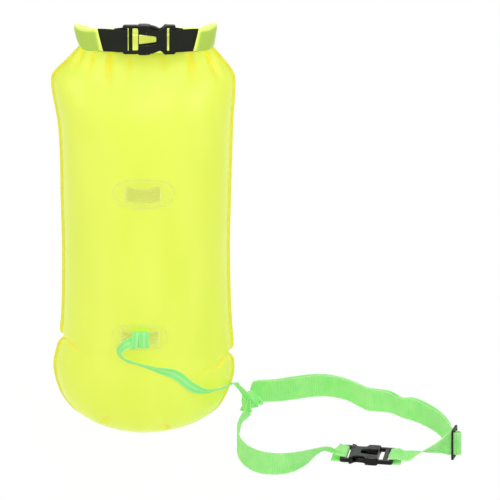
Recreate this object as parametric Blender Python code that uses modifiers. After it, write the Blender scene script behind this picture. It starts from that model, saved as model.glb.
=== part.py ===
"""Open water swim buoy: an inflated tow float with a roll-top dry bag, a tether and a waist belt.

It stands on its lower end, and the belt lies beside it on the same surface, as it is laid down for
a look. Run it with blender --background --python part.py, or from the text editor.

Metres, +Z up. The origin is the middle of the flat rest face under the buoy. X runs across the
buoy, the front with the two loop patches faces -Y, and the two valves are on the back.
"""

import math

import bmesh
import bpy
import numpy as np
from mathutils import Matrix, Vector

# Clearances
TOUCH_GAP = 0.0003  # between pieces that touch or are welded on the real object
SLIDE_GAP = 0.0003  # between pieces that slide or turn on each other
SKIN_GAP = 0.0006  # between the curved panel and what is welded on it, which takes in the facets
CUT_OVERRUN = 0.002  # how far a cutter runs past what it cuts

# Inflated body, with its welded rim
BODY_HEIGHT = 0.630  # rest face to the underside of the roll, at the ends of the roll
BODY_WIDTH = 0.276  # over the weld, at the shoulders
BODY_DEPTH = 0.160  # front to back where it is fullest
PANEL_WALL = 0.0009
WELD_WIDTH = 0.004  # how far the welded rim stands out beyond the panels
WELD_INSET = 0.004  # how far the weld reaches in between the panels
WELD_THICKNESS = 0.0016
CREASE_DEPTH = 0.012  # the two side creases where the dry compartment ends
CREASE_HEIGHT = 0.0075
LINER_WALL = 0.0005
LINER_GAP = 0.0004  # half the gap between the two liner sheets at their edges

# Rolled mouth
ROLL_HEIGHT = 0.040  # of its turned ends in front
ROLL_BACK_HEIGHT = 0.033
ROLL_THICKNESS = 0.015
ROLL_SPAN = 0.216  # over the turned ends
ROLL_SHIFT = 0.003  # to the right
ROLL_LOOP_DEPTH = 0.025  # between the middles of the back run and of the ends in front
ROLL_SAG = 0.014  # how far the middle of the roll hangs below its ends
ROLL_EDGE_RADIUS = 0.004
ROLL_LEFT_END = 0.064  # where the left end stops in front, from the middle
ROLL_RIGHT_END = 0.079
ROLL_END_SLANT = 0.0042  # how far the top corner of an end stands past its middle
ROLL_BORE_PLAY = 0.0005  # round the band inside the roll
MOUTH_BAND_WIDTH = 0.024

# Webbing
WIDE_STRAP = 0.037  # the closure tabs and the waist belt
WIDE_STRAP_THICKNESS = 0.0016
TETHER_WIDTH = 0.015
TETHER_THICKNESS = 0.0014
TAB_INSET = 0.010  # how far a closure tab reaches into the roll
TAB_RETURN = 0.012  # length of the tab's second layer, sewn back on the first

# Side-release buckle. Lengths run from the ladder end of the plug half
BUCKLE_WIDTH = 0.050
BUCKLE_THICKNESS = 0.011
BAR_THICKNESS = 0.006
OUTER_BAR = 0.006
STRAP_SLOT = 0.0032
SECOND_BAR = 0.0058
SPARE_SLOT = 0.0075
SHOULDER_LENGTH = 0.0137  # from the spare slot to where the plug half meets the socket half
SLOT_SPAN = 0.0394
SPARE_SLOT_SPAN = 0.0384
WINDOW_SETBACK = 0.0022  # of the window, from the spare slot
WINDOW_REACH = 0.0095  # of the window, beyond the ears
WINDOW_WIDE = 0.0200
WINDOW_NARROW = 0.0130
POCKET_SETBACK = 0.0026  # of the pocket that the prongs turn in, from the spare slot
SPINE_WIDTH = 0.0100
EAR_LENGTH = 0.0047  # of the socket's ears, which hold the prongs
EAR_INNER = 0.0215
LATCH_DEPTH = 0.0019  # how far a prong's bulge stands behind its ear
PRONG_THICKNESS = 0.0056
PRONG_PIVOT_Y = 0.0146
PRONG_ROOT_RADIUS = 0.0040
PRONG_NOSE = 0.0181  # from the bulge to the tip
PRONG_WAIST = 0.0187
TIP_SPACE = 0.0013
SOCKET_WAIST = 0.0170
SOCKET_WEB = 0.0062  # between the prongs' channel and the strap slot
SOCKET_SLOT = 0.0051
SOCKET_BAR = 0.0079
CLOSURE_SHIFT = 0.009  # the closure buckle sits this far right of the middle
CORNER_CHAMFER = 0.003

# Loop patches on the front
CENTRE_PATCH_HEIGHT = 0.423
CENTRE_PATCH_WIDTH = 0.096
CENTRE_PATCH_TALL = 0.052
CENTRE_BRIDGE_WIDTH = 0.051
CENTRE_BRIDGE_TALL = 0.025
LOWER_PATCH_HEIGHT = 0.181
LOWER_PATCH_SHIFT = 0.006  # to the left
LOWER_PATCH_WIDTH = 0.088
LOWER_PATCH_TALL = 0.046
LOWER_BRIDGE_WIDTH = 0.056
LOWER_BRIDGE_TALL = 0.023
PATCH_WALL = 0.0012
BRIDGE_WALL = 0.0018
BRIDGE_LIFT = 0.0062  # clear height under a bridge
BRIDGE_FOOT = 0.007
BRIDGE_RAMP = 0.007

# Waist belt, laid down
BELT_LEFT = 0.141  # nearest the buoy
BELT_FRONT = -0.170
BELT_LOOP_WIDTH = 0.330
BELT_LOOP_DEPTH = 0.276
BELT_BUCKLE_LIE = math.radians(171.5)  # way that the buckle points, from its plug to its socket
SLIDER_HEIGHT = 0.050
SLIDER_LENGTH = 0.026
SLIDER_THICKNESS = 0.003
SLIDER_SLOT = 0.0064
SLIDER_SIDE = 0.0041
SLIDER_TURN = math.radians(74.0)  # way that the slider's length points
TURN_BULGE = 0.009  # how far the webbing stands out round the slider's middle bar
TURN_SHAPE_SHARE = 0.8  # power of the bulge's curve
TAIL_SPACE = 0.0008  # least space between the belt and its tail
BELT_RETURN = 0.0264  # length of the belt's sewn end under the socket
BELT_LIFT = 0.0031  # how far the belt rises as it leaves the socket
BELT_PLUG_LIFT = 0.0012  # how far it stands above the plug as it reaches it

# Inflation valves on the back
VALVE_HEIGHT = 0.500
VALVE_SPACING = 0.110
FLANGE_RADIUS = 0.020
FLANGE_THICKNESS = 0.0014
STEM_RADIUS = 0.008
STEM_BORE = 0.0046
STEM_RISE = 0.012
STEM_DROP = 0.009
PLUG_CAP_RADIUS = 0.0095
PLUG_CAP_THICKNESS = 0.003
PLUG_SHAFT_LENGTH = 0.009
FLAP_RADIUS = 0.0068
FLAP_THICKNESS = 0.0006
LEASH_WIDTH = 0.006
LEASH_THICKNESS = 0.0010

# Half the outline, bottom to top: height, left and right reach, and depth, as shares of the body
BODY_SHARES = (
    (0.000, 0.34, 0.31, 0.26),
    (0.010, 0.47, 0.50, 0.40),
    (0.025, 0.63, 0.66, 0.53),
    (0.051, 0.785, 0.805, 0.66),
    (0.090, 0.905, 0.905, 0.77),
    (0.140, 0.975, 0.980, 0.84),
    (0.175, 0.985, 0.985, 0.85),
    (0.225, 0.940, 0.978, 0.83),
    (0.300, 0.900, 0.955, 0.90),
    (0.470, 0.888, 0.938, 0.99),
    (0.600, 0.900, 0.950, 1.00),
    (0.735, 0.910, 0.966, 0.98),
    (0.805, 0.932, 0.977, 0.92),
    (0.860, 0.973, 0.992, 0.83),
    (0.905, 1.000, 1.000, 0.68),
    (0.930, 0.978, 0.982, 0.56),
    (0.960, 0.855, 0.895, 0.36),
    (1.000, 0.690, 0.750, 0.075),
)
LEFT_CREASE_SHARE = 0.240
RIGHT_CREASE_SHARE = 0.198
NECK_SHARE = 0.86  # above this height the body narrows into the mouth
SEAM_LEAN_SHARE = 0.3  # part of the panel's wall that leans over its edge at the weld
CREASE_ROWS_SHARES = (0.172, 0.262)  # rows of the panel lie close together between these heights
CREASE_ROWS = 14
PANEL_EXTRA_SHARES = (0.385, 0.535, 0.670, 0.945, 0.980)  # heights of further rows of the panel
PATCH_CORNER_SHARE = 0.40  # 0 is a square corner and a half is an ellipse
PANEL_COLUMNS = 16
PANEL_POWER_SHARE = 1.1  # 1 is an ellipse across the body, and more draws the film in at the weld
LINER_WIDTH_SHARE = 0.86  # of the body's width
LINER_EDGE_SHARE = 0.98  # how near the liner's edges come to its own weld
LINER_FULLNESS_SHARE = 0.55  # of the body's depth
LINER_SPREAD_SHARE = 3.0  # the liner is full from a third of its height

# Belt routes: share of the loop's width, share of its depth, lean and fold in degrees, lift share
# of the strap. Lean tips the top edge, to the left of the way the strap runs when it is negative
BELT_FRONT_SHARES = (
    (0.412, 0.235, -84, 0, 0.20),
    (0.374, 0.190, -62, 0, 0.12),
    (0.330, 0.120, -42, 0, 0.00),
    (0.288, 0.060, -26, 0, 0.00),
    (0.240, 0.018, -16, 0, 0.00),
    (0.172, 0.000, -8, 0, 0.00),
    (0.103, 0.022, 0, 0, 0.00),
    (0.048, 0.087, 0, 0, 0.00),
    (0.015, 0.174, 0, 0, 0.00),
    (0.000, 0.272, 0, 0, 0.00),
    (0.000, 0.355, 0, 0, 0.00),
    (0.008, 0.453, 0, 0, 0.00),
    (0.012, 0.572, -6, 0, 0.00),
    (0.018, 0.660, -16, 10, 0.00),
    (0.028, 0.728, -40, 34, 0.01),
    (0.040, 0.783, -72, 60, 0.04),
    (0.050, 0.838, -90, 77, 0.06),
    (0.056, 0.866, -90, 76, 0.07),
)
BELT_BACK_SHARES = (
    (0.0563, 0.8673, -90, 76, 0.07),
    (0.0590, 0.8790, -90, 76, 0.07),
    (0.067, 0.8960, -82, 70, 0.06),
    (0.082, 0.9190, -12, 32, 0.00),
    (0.106, 0.920, 6, 8, 0.00),
    (0.175, 0.924, 6, 0, 0.00),
    (0.250, 0.948, 5, 0, 0.00),
    (0.335, 0.981, 6, 0, 0.00),
    (0.410, 0.987, 8, 0, 0.00),
    (0.492, 0.943, 8, 0, 0.00),
    (0.555, 0.865, 2, 0, 0.00),
    (0.600, 0.812, 2, 0, 0.00),
    (0.690, 0.778, 10, 0, 0.00),
    (0.775, 0.690, 12, 0, 0.00),
    (0.845, 0.618, 6, 0, 0.00),
    (0.900, 0.535, 3, 0, 0.03),
    (0.935, 0.437, 0, 0, 0.08),
    (0.958, 0.340, 0, 0, 0.14),
    (0.976, 0.257, 0, 0, 0.17),
)
BELT_TAIL_GAP_SHARES = (0.0, 0.04, 0.10, 0.08, 0.02, 0.0, 0.10, 0.04, 0.10, 0.03, 0.0)
TAIL_STOP_SHARES = (0.24, 0.955)  # where the tail starts and stops along the back run
BELT_BUCKLE_RUN_SHARES = (
    (0.967, 0.204, 0, 0, 0.17),
    (0.960, 0.2042, 0, 0, 0.17),
    (0.925, 0.206, -32, 0, 0.12),
    (0.878, 0.210, -52, 0, 0.06),
    (0.836, 0.214, -66, 0, 0.05),
    (0.794, 0.214, -80, 0, 0.06),
    (0.757, 0.206, -92, 0, 0.10),
)
BELT_BUCKLE_SHARES = (0.712, 0.192)  # where the belt buckle's plug ends, in the loop
SLIDER_SHARES = (0.985, 0.222)  # where the slider's middle stands, in the loop
ROLL_TURN_STEPS = 6
ROLL_BACK_STEPS = 10
ROUTE_STEPS = 4
CORNER_STEPS = 3
ROOT_STEPS = 8
NOSE_STEPS = 6
TURN_STEPS = 10
RING_STEPS = 2
GAP_STEPS = 8
LATHE_STEPS = 20
FLAP_STEPS = 12
LINER_COLUMNS = 8
LINER_ROWS = 10
PATCH_COLUMNS = 8
PATCH_ROWS = 6

# Tether route over the front of the buoy, chosen by hand: across, up, and out from the panel
TETHER_ON_BUOY = (
    (-0.0178, 0.1780, 0.0132),
    (-0.0235, 0.1774, 0.0136),
    (-0.0292, 0.1730, 0.0122),
    (-0.0330, 0.1655, 0.0086),
    (-0.0335, 0.1570, 0.0052),
    (-0.0295, 0.1495, 0.0034),
    (-0.0205, 0.1440, 0.0030),
    (-0.0080, 0.1402, 0.0030),
    (0.0170, 0.1330, 0.0030),
    (0.0470, 0.1215, 0.0032),
    (0.0690, 0.0985, 0.0034),
    (0.0870, 0.0845, 0.0034),
    (0.1060, 0.0820, 0.0040),
    (0.1240, 0.0800, 0.0052),
)
# and from the edge of the buoy to the belt: x, y, z, then the way its width points
TETHER_TO_BELT = (
    ((0.1405, -0.0010, 0.0740), (0.10, 0.30, 0.95)),
    ((0.1480, 0.0180, 0.0600), (0.30, 0.50, 0.80)),
    ((0.1530, 0.0370, 0.0450), (0.55, 0.60, 0.55)),
)
# where the tether comes down on its end loop: along, and up, as shares of the loop's sizes
TETHER_LAP_SHARES = ((-0.85, 0.15), (-0.40, 0.02), (0.25, 0.00))
TETHER_STEPS = 4
NOSE_POWER_SHARE = 1.7  # power of the curve of a prong's outer side
TETHER_LOOP_WIDE = 0.0104  # half the tether's end loop, across the pinched belt
TETHER_LOOP_BACK = 0.0090
TETHER_LOOP_TALL = 0.0260
TETHER_LOOP_SETBACK = 0.002  # its middle, from the end of the belt's front run
TETHER_RING_LOW_SHARES = (0.0, 0.75, 1.5, 2.2)  # under the belt: out, and up in half thicknesses
HITCH_HALF_SHARE = 0.78  # half the hitch's width, for the two turns of tether beside each other
# round the pinched belt: across, as a share of the loop's reach on that side, and up
TETHER_RING_SHARES = (
    (-0.35, 1.00),
    (0.60, 0.97),
    (0.98, 0.74),
    (1.00, 0.35),
)
TETHER_RING_BACK_SHARES = (
    (-1.00, 0.35),
    (-0.98, 0.70),
    (-0.80, 0.88),
)
# A valve's leash: out from the middle in flange radii, and up in stem rises
LEASH_SHARES = ((0.74, 0.00), (0.84, 0.00), (0.95, 0.20), (0.96, 0.75), (0.74, 1.06))
LEASH_CAP_SHARE = 0.3  # where the leash meets the cap, from the cap's lower edge

# Colours of the materials, as shown on the object
FILM_YELLOW = (0.80, 0.93, 0.10, 1.0)
ROLL_GREEN = (0.62, 0.80, 0.08, 1.0)
BELT_GREEN = (0.25, 0.85, 0.18, 1.0)
TETHER_GREEN = (0.36, 0.88, 0.30, 1.0)
BLACK_NYLON = (0.022, 0.024, 0.020, 1.0)
CLEAR_VINYL = (0.86, 0.94, 0.45, 1.0)
LINER_WHITE = (0.82, 0.86, 0.80, 1.0)

FULL_TURN = 2.0 * math.pi
UP = Vector((0.0, 0.0, 1.0))

HALF_WIDTH = BODY_WIDTH / 2
HALF_DEPTH = BODY_DEPTH / 2
SEAM_Y = WELD_THICKNESS / 2 + TOUCH_GAP
ROLL_LOW_Z = BODY_HEIGHT + TOUCH_GAP
ROLL_MIDDLE_Z = ROLL_LOW_Z + ROLL_HEIGHT / 2
ROLL_TURN_RADIUS = ROLL_LOOP_DEPTH / 2
ROLL_TURN_X = ROLL_SPAN / 2 - ROLL_TURN_RADIUS - ROLL_THICKNESS / 2
WRAP_OFFSET = BAR_THICKNESS / 2 + TOUCH_GAP + WIDE_STRAP_THICKNESS / 2
SPARE_SLOT_START = OUTER_BAR + STRAP_SLOT + SECOND_BAR
SPARE_SLOT_END = SPARE_SLOT_START + SPARE_SLOT
WINDOW_START = SPARE_SLOT_END + WINDOW_SETBACK
POCKET_START = SPARE_SLOT_END + POCKET_SETBACK
PRONG_PIVOT_X = POCKET_START + PRONG_ROOT_RADIUS + SLIDE_GAP
BUCKLE_SPLIT = SPARE_SLOT_END + SHOULDER_LENGTH
LATCH_X = BUCKLE_SPLIT + EAR_LENGTH
WINDOW_END = LATCH_X + WINDOW_REACH
PRONG_BULGE = EAR_INNER + LATCH_DEPTH
PRONG_TIP_X = LATCH_X + PRONG_NOSE
CHANNEL_END = PRONG_TIP_X + TIP_SPACE
CHANNEL_HALF = PRONG_THICKNESS / 2 + SLIDE_GAP
SOCKET_SLOT_START = CHANNEL_END + SOCKET_WEB
SOCKET_SLOT_END = SOCKET_SLOT_START + SOCKET_SLOT
BUCKLE_LENGTH = SOCKET_SLOT_END + SOCKET_BAR
CLOSURE_START = CLOSURE_SHIFT - BUCKLE_LENGTH / 2


def clear_scene():
    """Remove what the new scene came with."""
    for item in list(bpy.data.objects):
        bpy.data.objects.remove(item, do_unlink=True)


def new_collection(name):
    """A collection linked to the scene."""
    made = bpy.data.collections.new(name)
    bpy.context.scene.collection.children.link(made)
    return made


def material(name, colour, roughness, metallic=0.0):
    """A Principled BSDF material with one colour."""
    made = bpy.data.materials.new(name)
    made.use_nodes = True
    shader = made.node_tree.nodes["Principled BSDF"]
    shader.inputs["Base Color"].default_value = colour
    shader.inputs["Roughness"].default_value = roughness
    shader.inputs["Metallic"].default_value = metallic
    made.diffuse_color = colour
    return made


def add_part(name, data, finish):
    """A new object in the buoy's collection, with a material of its own."""
    colour, roughness = finish
    part = bpy.data.objects.new(name, data)
    if not data.materials:
        data.materials.append(material(name, colour, roughness))
    bpy.data.collections["swim_buoy"].objects.link(part)
    return part


def add_cutter(name, data):
    """A helper that the parts are cut by, which is never shown."""
    cutter = bpy.data.objects.new(name, data)
    cutter.hide_render = True
    cutter.display_type = "WIRE"
    bpy.data.collections["cutters"].objects.link(cutter)
    return cutter


def cut(part, cutter, operation="DIFFERENCE"):
    """Give the part a Boolean modifier."""
    modifier = part.modifiers.new(cutter.name, "BOOLEAN")
    modifier.object = cutter
    modifier.operation = operation


def solidify(part, thickness, offset):
    """Give an open surface a wall."""
    wall = part.modifiers.new("wall", "SOLIDIFY")
    wall.thickness = thickness
    wall.offset = offset


def round_edges(part, width, segments, angle=math.radians(50.0)):
    """Round the sharp edges."""
    bevel = part.modifiers.new("rounded", "BEVEL")
    bevel.width = width
    bevel.segments = segments
    bevel.limit_method = "ANGLE"
    bevel.angle_limit = angle


def settled_mesh(part):
    """The part's mesh as its modifiers leave it, with the loose caps of a curve welded."""
    bpy.context.view_layer.update()
    graph = bpy.context.evaluated_depsgraph_get()
    mesh = bpy.data.meshes.new_from_object(part.evaluated_get(graph))
    shape = bmesh.new()
    shape.from_mesh(mesh)
    bmesh.ops.remove_doubles(shape, verts=shape.verts, dist=TOUCH_GAP / 30)
    shape.to_mesh(mesh)
    shape.free()
    return mesh


def smooth_rows(rows, steps):
    """Rows of numbers along a Catmull-Rom curve through the given rows."""
    known = np.array(rows, dtype=float)
    before = np.vstack([2 * known[0] - known[1], known, 2 * known[-1] - known[-2]])
    found = []
    for index in range(len(known) - 1):
        a, b, c, d = before[index : index + 4]
        for step in range(steps):
            t = step / steps
            slope = (c - a) / 2
            end_slope = (d - b) / 2
            bend = 3 * (c - b) - 2 * slope - end_slope
            twist = 2 * (b - c) + slope + end_slope
            found.append(b + slope * t + bend * t**2 + twist * t**3)
    found.append(known[-1])
    return found


def table_value(table, at):
    """A row of the table at this place, on a smooth curve through the table's rows."""
    places = [row[0] for row in table]
    index = int(np.clip(np.searchsorted(places, at) - 1, 0, len(table) - 2))
    low, high = table[index], table[index + 1]
    span = high[0] - low[0]
    t = min(max((at - low[0]) / span, 0.0), 1.0)
    values = []
    for column in range(1, len(low)):
        slopes = []
        for middle in (index, index + 1):
            first = table[max(middle - 1, 0)]
            last = table[min(middle + 1, len(table) - 1)]
            slopes.append((last[column] - first[column]) / (last[0] - first[0]) * span)
        values.append(
            low[column] * (2 * t**3 - 3 * t**2 + 1)
            + slopes[0] * (t**3 - 2 * t**2 + t)
            + high[column] * (3 * t**2 - 2 * t**3)
            + slopes[1] * (t**3 - t**2)
        )
    return values


def crease(height_share, crease_share):
    """How far a side crease draws the outline in at this height."""
    away = (height_share - crease_share) * BODY_HEIGHT / CREASE_HEIGHT
    return CREASE_DEPTH * math.exp(-(away**2) * 2)


def body_section(height_share):
    """Reach to the left and right over the weld, and half the depth, at a height."""
    left, right, depth = table_value(BODY_SHARES, height_share)
    left = left * HALF_WIDTH - crease(height_share, LEFT_CREASE_SHARE)
    right = right * HALF_WIDTH - crease(height_share, RIGHT_CREASE_SHARE)
    return left, right, depth * HALF_DEPTH


def roll_drop(x):
    """How far the roll hangs below its ends at this place across."""
    share = min(abs(x - ROLL_SHIFT) / ROLL_TURN_X, 1.0)
    return ROLL_SAG * (1 - share**2)


def panel_point(across, height_share, width_share=1.0, depth_share=1.0, seam=SEAM_Y):
    """A point of the front panel's outer face. Across runs from -1 at the left weld to 1."""
    left, right, depth = body_section(height_share)
    angle = across * math.pi / 2
    reach = (left if across < 0 else right) - WELD_WIDTH
    x = reach * width_share * math.sin(angle)
    y = -seam - depth * depth_share * max(math.cos(angle), 0.0) ** PANEL_POWER_SHARE
    neck = min(max((height_share - NECK_SHARE) / (1 - NECK_SHARE), 0.0), 1.0)
    if seam == SEAM_Y:
        y -= PANEL_WALL * (SEAM_LEAN_SHARE + (1 - SEAM_LEAN_SHARE) * neck)
    z = height_share * BODY_HEIGHT - roll_drop(x) * neck**1.5
    return Vector((x, y, z))


def front_y(x, z):
    """Where the front panel's outer face is, at a place across and a height."""
    height_share = z / BODY_HEIGHT
    left, right, depth = body_section(height_share)
    reach = (left if x < 0 else right) - WELD_WIDTH
    return -SEAM_Y - depth * max(1 - (x / reach) ** 2, 0.0) ** (PANEL_POWER_SHARE / 2)


def on_front(x, z, out):
    """A point in front of the front panel, this far out along the panel's normal."""
    step = BODY_WIDTH / 500
    slope_x = (front_y(x + step, z) - front_y(x - step, z)) / (2 * step)
    slope_z = (front_y(x, z + step) - front_y(x, z - step)) / (2 * step)
    normal = Vector((slope_x, -1.0, slope_z)).normalized()
    return Vector((x, front_y(x, z), z)) + normal * out, normal


def grid_mesh(name, columns, rows, place):
    """A grid whose points are placed by a function of the two shares, each from 0 to 1."""
    shape = bmesh.new()
    bmesh.ops.create_grid(shape, x_segments=columns, y_segments=rows, size=1.0)
    for point in shape.verts:
        point.co = place((point.co.x + 1) / 2, (point.co.y + 1) / 2)
    mesh = bpy.data.meshes.new(name)
    shape.to_mesh(mesh)
    shape.free()
    mesh.shade_smooth()
    return mesh


def ribbon_mesh(name, stations):
    """A strap's middle surface. A station is its middle, half its width, and the lift of its edges."""
    last = len(stations) - 1

    def place(along, across):
        middle, half, lift = stations[round(along * last)]
        side = round(2 * across) - 1
        return middle + half * side + lift * abs(side)

    return grid_mesh(name, last, 2, place)


def ribbon(name, stations, thickness, finish):
    """A strap as a closed solid."""
    part = add_part(name, ribbon_mesh(name, stations), finish)
    solidify(part, thickness, 0.0)
    return part


def flat_station(middle, half):
    """A station with no fold."""
    return Vector(middle), Vector(half), Vector((0.0, 0.0, 0.0))


def panel_rows():
    """Heights of the panel's rows, as shares, close together at the creases."""
    low, high = CREASE_ROWS_SHARES
    heights = [row[0] for row in BODY_SHARES if row[0] < low or row[0] > high]
    heights += [low + (high - low) * step / CREASE_ROWS for step in range(CREASE_ROWS + 1)]
    heights += PANEL_EXTRA_SHARES
    return sorted(heights)


def build_panels():
    """The front and back panels, each a thin shell that turns in under the buoy at the rest face."""
    heights = panel_rows()
    rows = len(heights)

    def front(across, up):
        row = round(up * rows)
        if row == 0:
            return panel_point(2 * across - 1, heights[0], depth_share=0.0)
        return panel_point(2 * across - 1, heights[row - 1])

    def back(across, up):
        point = front(across, up)
        point.y = -point.y
        return point

    film = (FILM_YELLOW, 0.35)
    for name, place in (("front_panel", front), ("back_panel", back)):
        mesh = grid_mesh(name, PANEL_COLUMNS, rows, place)
        if name == "back_panel":
            mesh.flip_normals()
        panel = add_part(name, mesh, film)
        solidify(panel, PANEL_WALL, -1.0)


def build_liner():
    """The two sheets of the dry compartment inside, which hang from the mouth to the creases."""
    low = LEFT_CREASE_SHARE
    for name, side in (("inner_liner_front", 1.0), ("inner_liner_back", -1.0)):

        def place(across, up, side=side):
            share = low + (1.0 - low) * up
            fullness = LINER_FULLNESS_SHARE * min(up * LINER_SPREAD_SHARE, 1.0)
            seam = LINER_GAP + LINER_WALL
            sideways = LINER_EDGE_SHARE * (2 * across - 1)
            point = panel_point(sideways, share, LINER_WIDTH_SHARE, fullness, seam)
            point.y = point.y * side
            return point

        mesh = grid_mesh(name, LINER_COLUMNS, LINER_ROWS, place)
        sheet = add_part(name, mesh, (LINER_WHITE, 0.5))
        solidify(sheet, LINER_WALL, -side)


def build_weld():
    """The welded rim between the panels: down the left side, across the rest face and up the right."""
    heights = panel_rows()[::-1]
    left_side = [(-body_section(share)[0], share * BODY_HEIGHT) for share in heights]
    right_side = [(body_section(share)[1], share * BODY_HEIGHT) for share in heights[::-1]]
    outline = left_side + [((left_side[-1][0] + right_side[0][0]) / 2, 0.0)] + right_side
    stations = []
    for index, (x, z) in enumerate(outline):
        before = outline[max(index - 1, 0)]
        after = outline[min(index + 1, len(outline) - 1)]
        along = Vector((after[0] - before[0], 0.0, after[1] - before[1])).normalized()
        outward = Vector((-along.z, 0.0, along.x)) * -1.0
        if z == 0.0:
            outward = -UP
        half = outward * (WELD_WIDTH + WELD_INSET) / 2
        stations.append(flat_station(Vector((x, 0.0, z)) - half, half))
    ribbon("weld_seam", stations, WELD_THICKNESS, (FILM_YELLOW, 0.3))


def roll_turn(side):
    """Points of the roll's turn at one end, from the back to the front."""
    points = []
    for step in range(ROLL_TURN_STEPS + 1):
        angle = math.pi / 2 - math.pi * step / ROLL_TURN_STEPS
        x = ROLL_SHIFT + side * (ROLL_TURN_X + ROLL_TURN_RADIUS * math.cos(angle))
        points.append((x, ROLL_TURN_RADIUS * (math.sin(angle) - 1)))
    return points


def roll_route(left_end, right_end):
    """Middle points of the roll from its left end in front, round the back, to its right end."""
    front = -ROLL_LOOP_DEPTH
    left_turn = roll_turn(-1)[::-1]
    points = [(-left_end, front), ((left_turn[0][0] - left_end) / 2, front)]
    points += left_turn
    for step in range(1, ROLL_BACK_STEPS):
        points.append((ROLL_SHIFT + ROLL_TURN_X * (2 * step / ROLL_BACK_STEPS - 1), 0.0))
    points += roll_turn(1)
    points.append((right_end, front))
    return points


def roll_place(x, y):
    """Height of the roll's middle line at a point of its route, and half the roll's height there."""
    forward = min(-y / ROLL_LOOP_DEPTH, 1.0)
    half = (ROLL_BACK_HEIGHT + (ROLL_HEIGHT - ROLL_BACK_HEIGHT) * forward) / 2
    return ROLL_LOW_Z + half - roll_drop(x) * (1 - forward), half


def roll_stations(left_end, right_end, trim, slant):
    """Upright stations along the roll's route, with slanted ends. Trim is taken off its height."""
    stations = []
    points = roll_route(left_end, right_end)
    for index, (x, y) in enumerate(points):
        z, half_height = roll_place(x, y)
        half = UP * (half_height - trim)
        if index == 0:
            half = half + Vector((-slant, 0.0, 0.0))
        if index == len(points) - 1:
            half = half + Vector((slant, 0.0, 0.0))
        stations.append(flat_station((x, y, z), half))
    return stations


def build_roll():
    """The rolled mouth, open from end to end, and the band inside it that stiffens the mouth."""
    stations = roll_stations(ROLL_LEFT_END, ROLL_RIGHT_END, 0.0, ROLL_END_SLANT)
    roll = ribbon("roll_top", stations, ROLL_THICKNESS, (ROLL_GREEN, 0.35))
    round_edges(roll, ROLL_EDGE_RADIUS, 2)
    trim = (ROLL_HEIGHT - WIDE_STRAP) / 2 - ROLL_BORE_PLAY
    past = ROLL_END_SLANT + CUT_OVERRUN
    bore_stations = roll_stations(ROLL_LEFT_END - past, ROLL_RIGHT_END - past, trim, 0.0)
    bore = add_cutter("roll_bore", ribbon_mesh("roll_bore", bore_stations))
    solidify(bore, WIDE_STRAP_THICKNESS + 2 * ROLL_BORE_PLAY, 0.0)
    cut(roll, bore)
    left = ROLL_LEFT_END + TAB_INSET + TOUCH_GAP
    right = ROLL_RIGHT_END + TAB_INSET / 2 + TOUCH_GAP
    band = []
    for middle, half, lift in roll_stations(left, right, 0.0, 0.0):
        band.append((middle, half.normalized() * MOUTH_BAND_WIDTH / 2, lift))
    ribbon("mouth_band", band, WIDE_STRAP_THICKNESS, (BLACK_NYLON, 0.45))


def bar_wrap(edge, inward, offset):
    """Points of a strap round a bar's inner edge, seen from the side: along, then out of the face.

    Edge is where the bar's inner edge is, and inward is 1 or -1, the way to the buckle's middle.
    """
    half = BAR_THICKNESS / 2
    reach = offset - half
    points = []
    for side in (1, -1):
        for step in range(CORNER_STEPS + 1):
            angle = math.pi / 2 * step / CORNER_STEPS
            if side < 0:
                angle = math.pi / 2 - angle
            points.append(
                (edge + inward * reach * math.sin(angle), side * (half + reach * math.cos(angle)))
            )
    return points


def frame_of(origin, along, out):
    """A buckle's frame: its own x along its length and z out of its face."""
    x_axis = Vector(along).normalized()
    z_axis = Vector(out).normalized()
    y_axis = z_axis.cross(x_axis)
    turned = Matrix((x_axis, y_axis, z_axis)).transposed().to_4x4()
    return Matrix.Translation(Vector(origin)) @ turned


def closure_frame():
    """The closure buckle: its plug half on the left, its face to the front."""
    origin = (CLOSURE_START, -ROLL_LOOP_DEPTH, ROLL_MIDDLE_Z)
    return frame_of(origin, (1.0, 0.0, 0.0), (0.0, -1.0, 0.0))


def belt_point(share_x, share_y):
    """A place in the belt's loop on the surface it lies on."""
    return BELT_LEFT + share_x * BELT_LOOP_WIDTH, BELT_FRONT + share_y * BELT_LOOP_DEPTH


def belt_frame():
    """The belt buckle: flat on the surface, its plug half on the right."""
    x, y = belt_point(*BELT_BUCKLE_SHARES)
    along = (math.cos(BELT_BUCKLE_LIE), math.sin(BELT_BUCKLE_LIE), 0.0)
    return frame_of((x, y, BUCKLE_THICKNESS / 2), along, UP)


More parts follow.
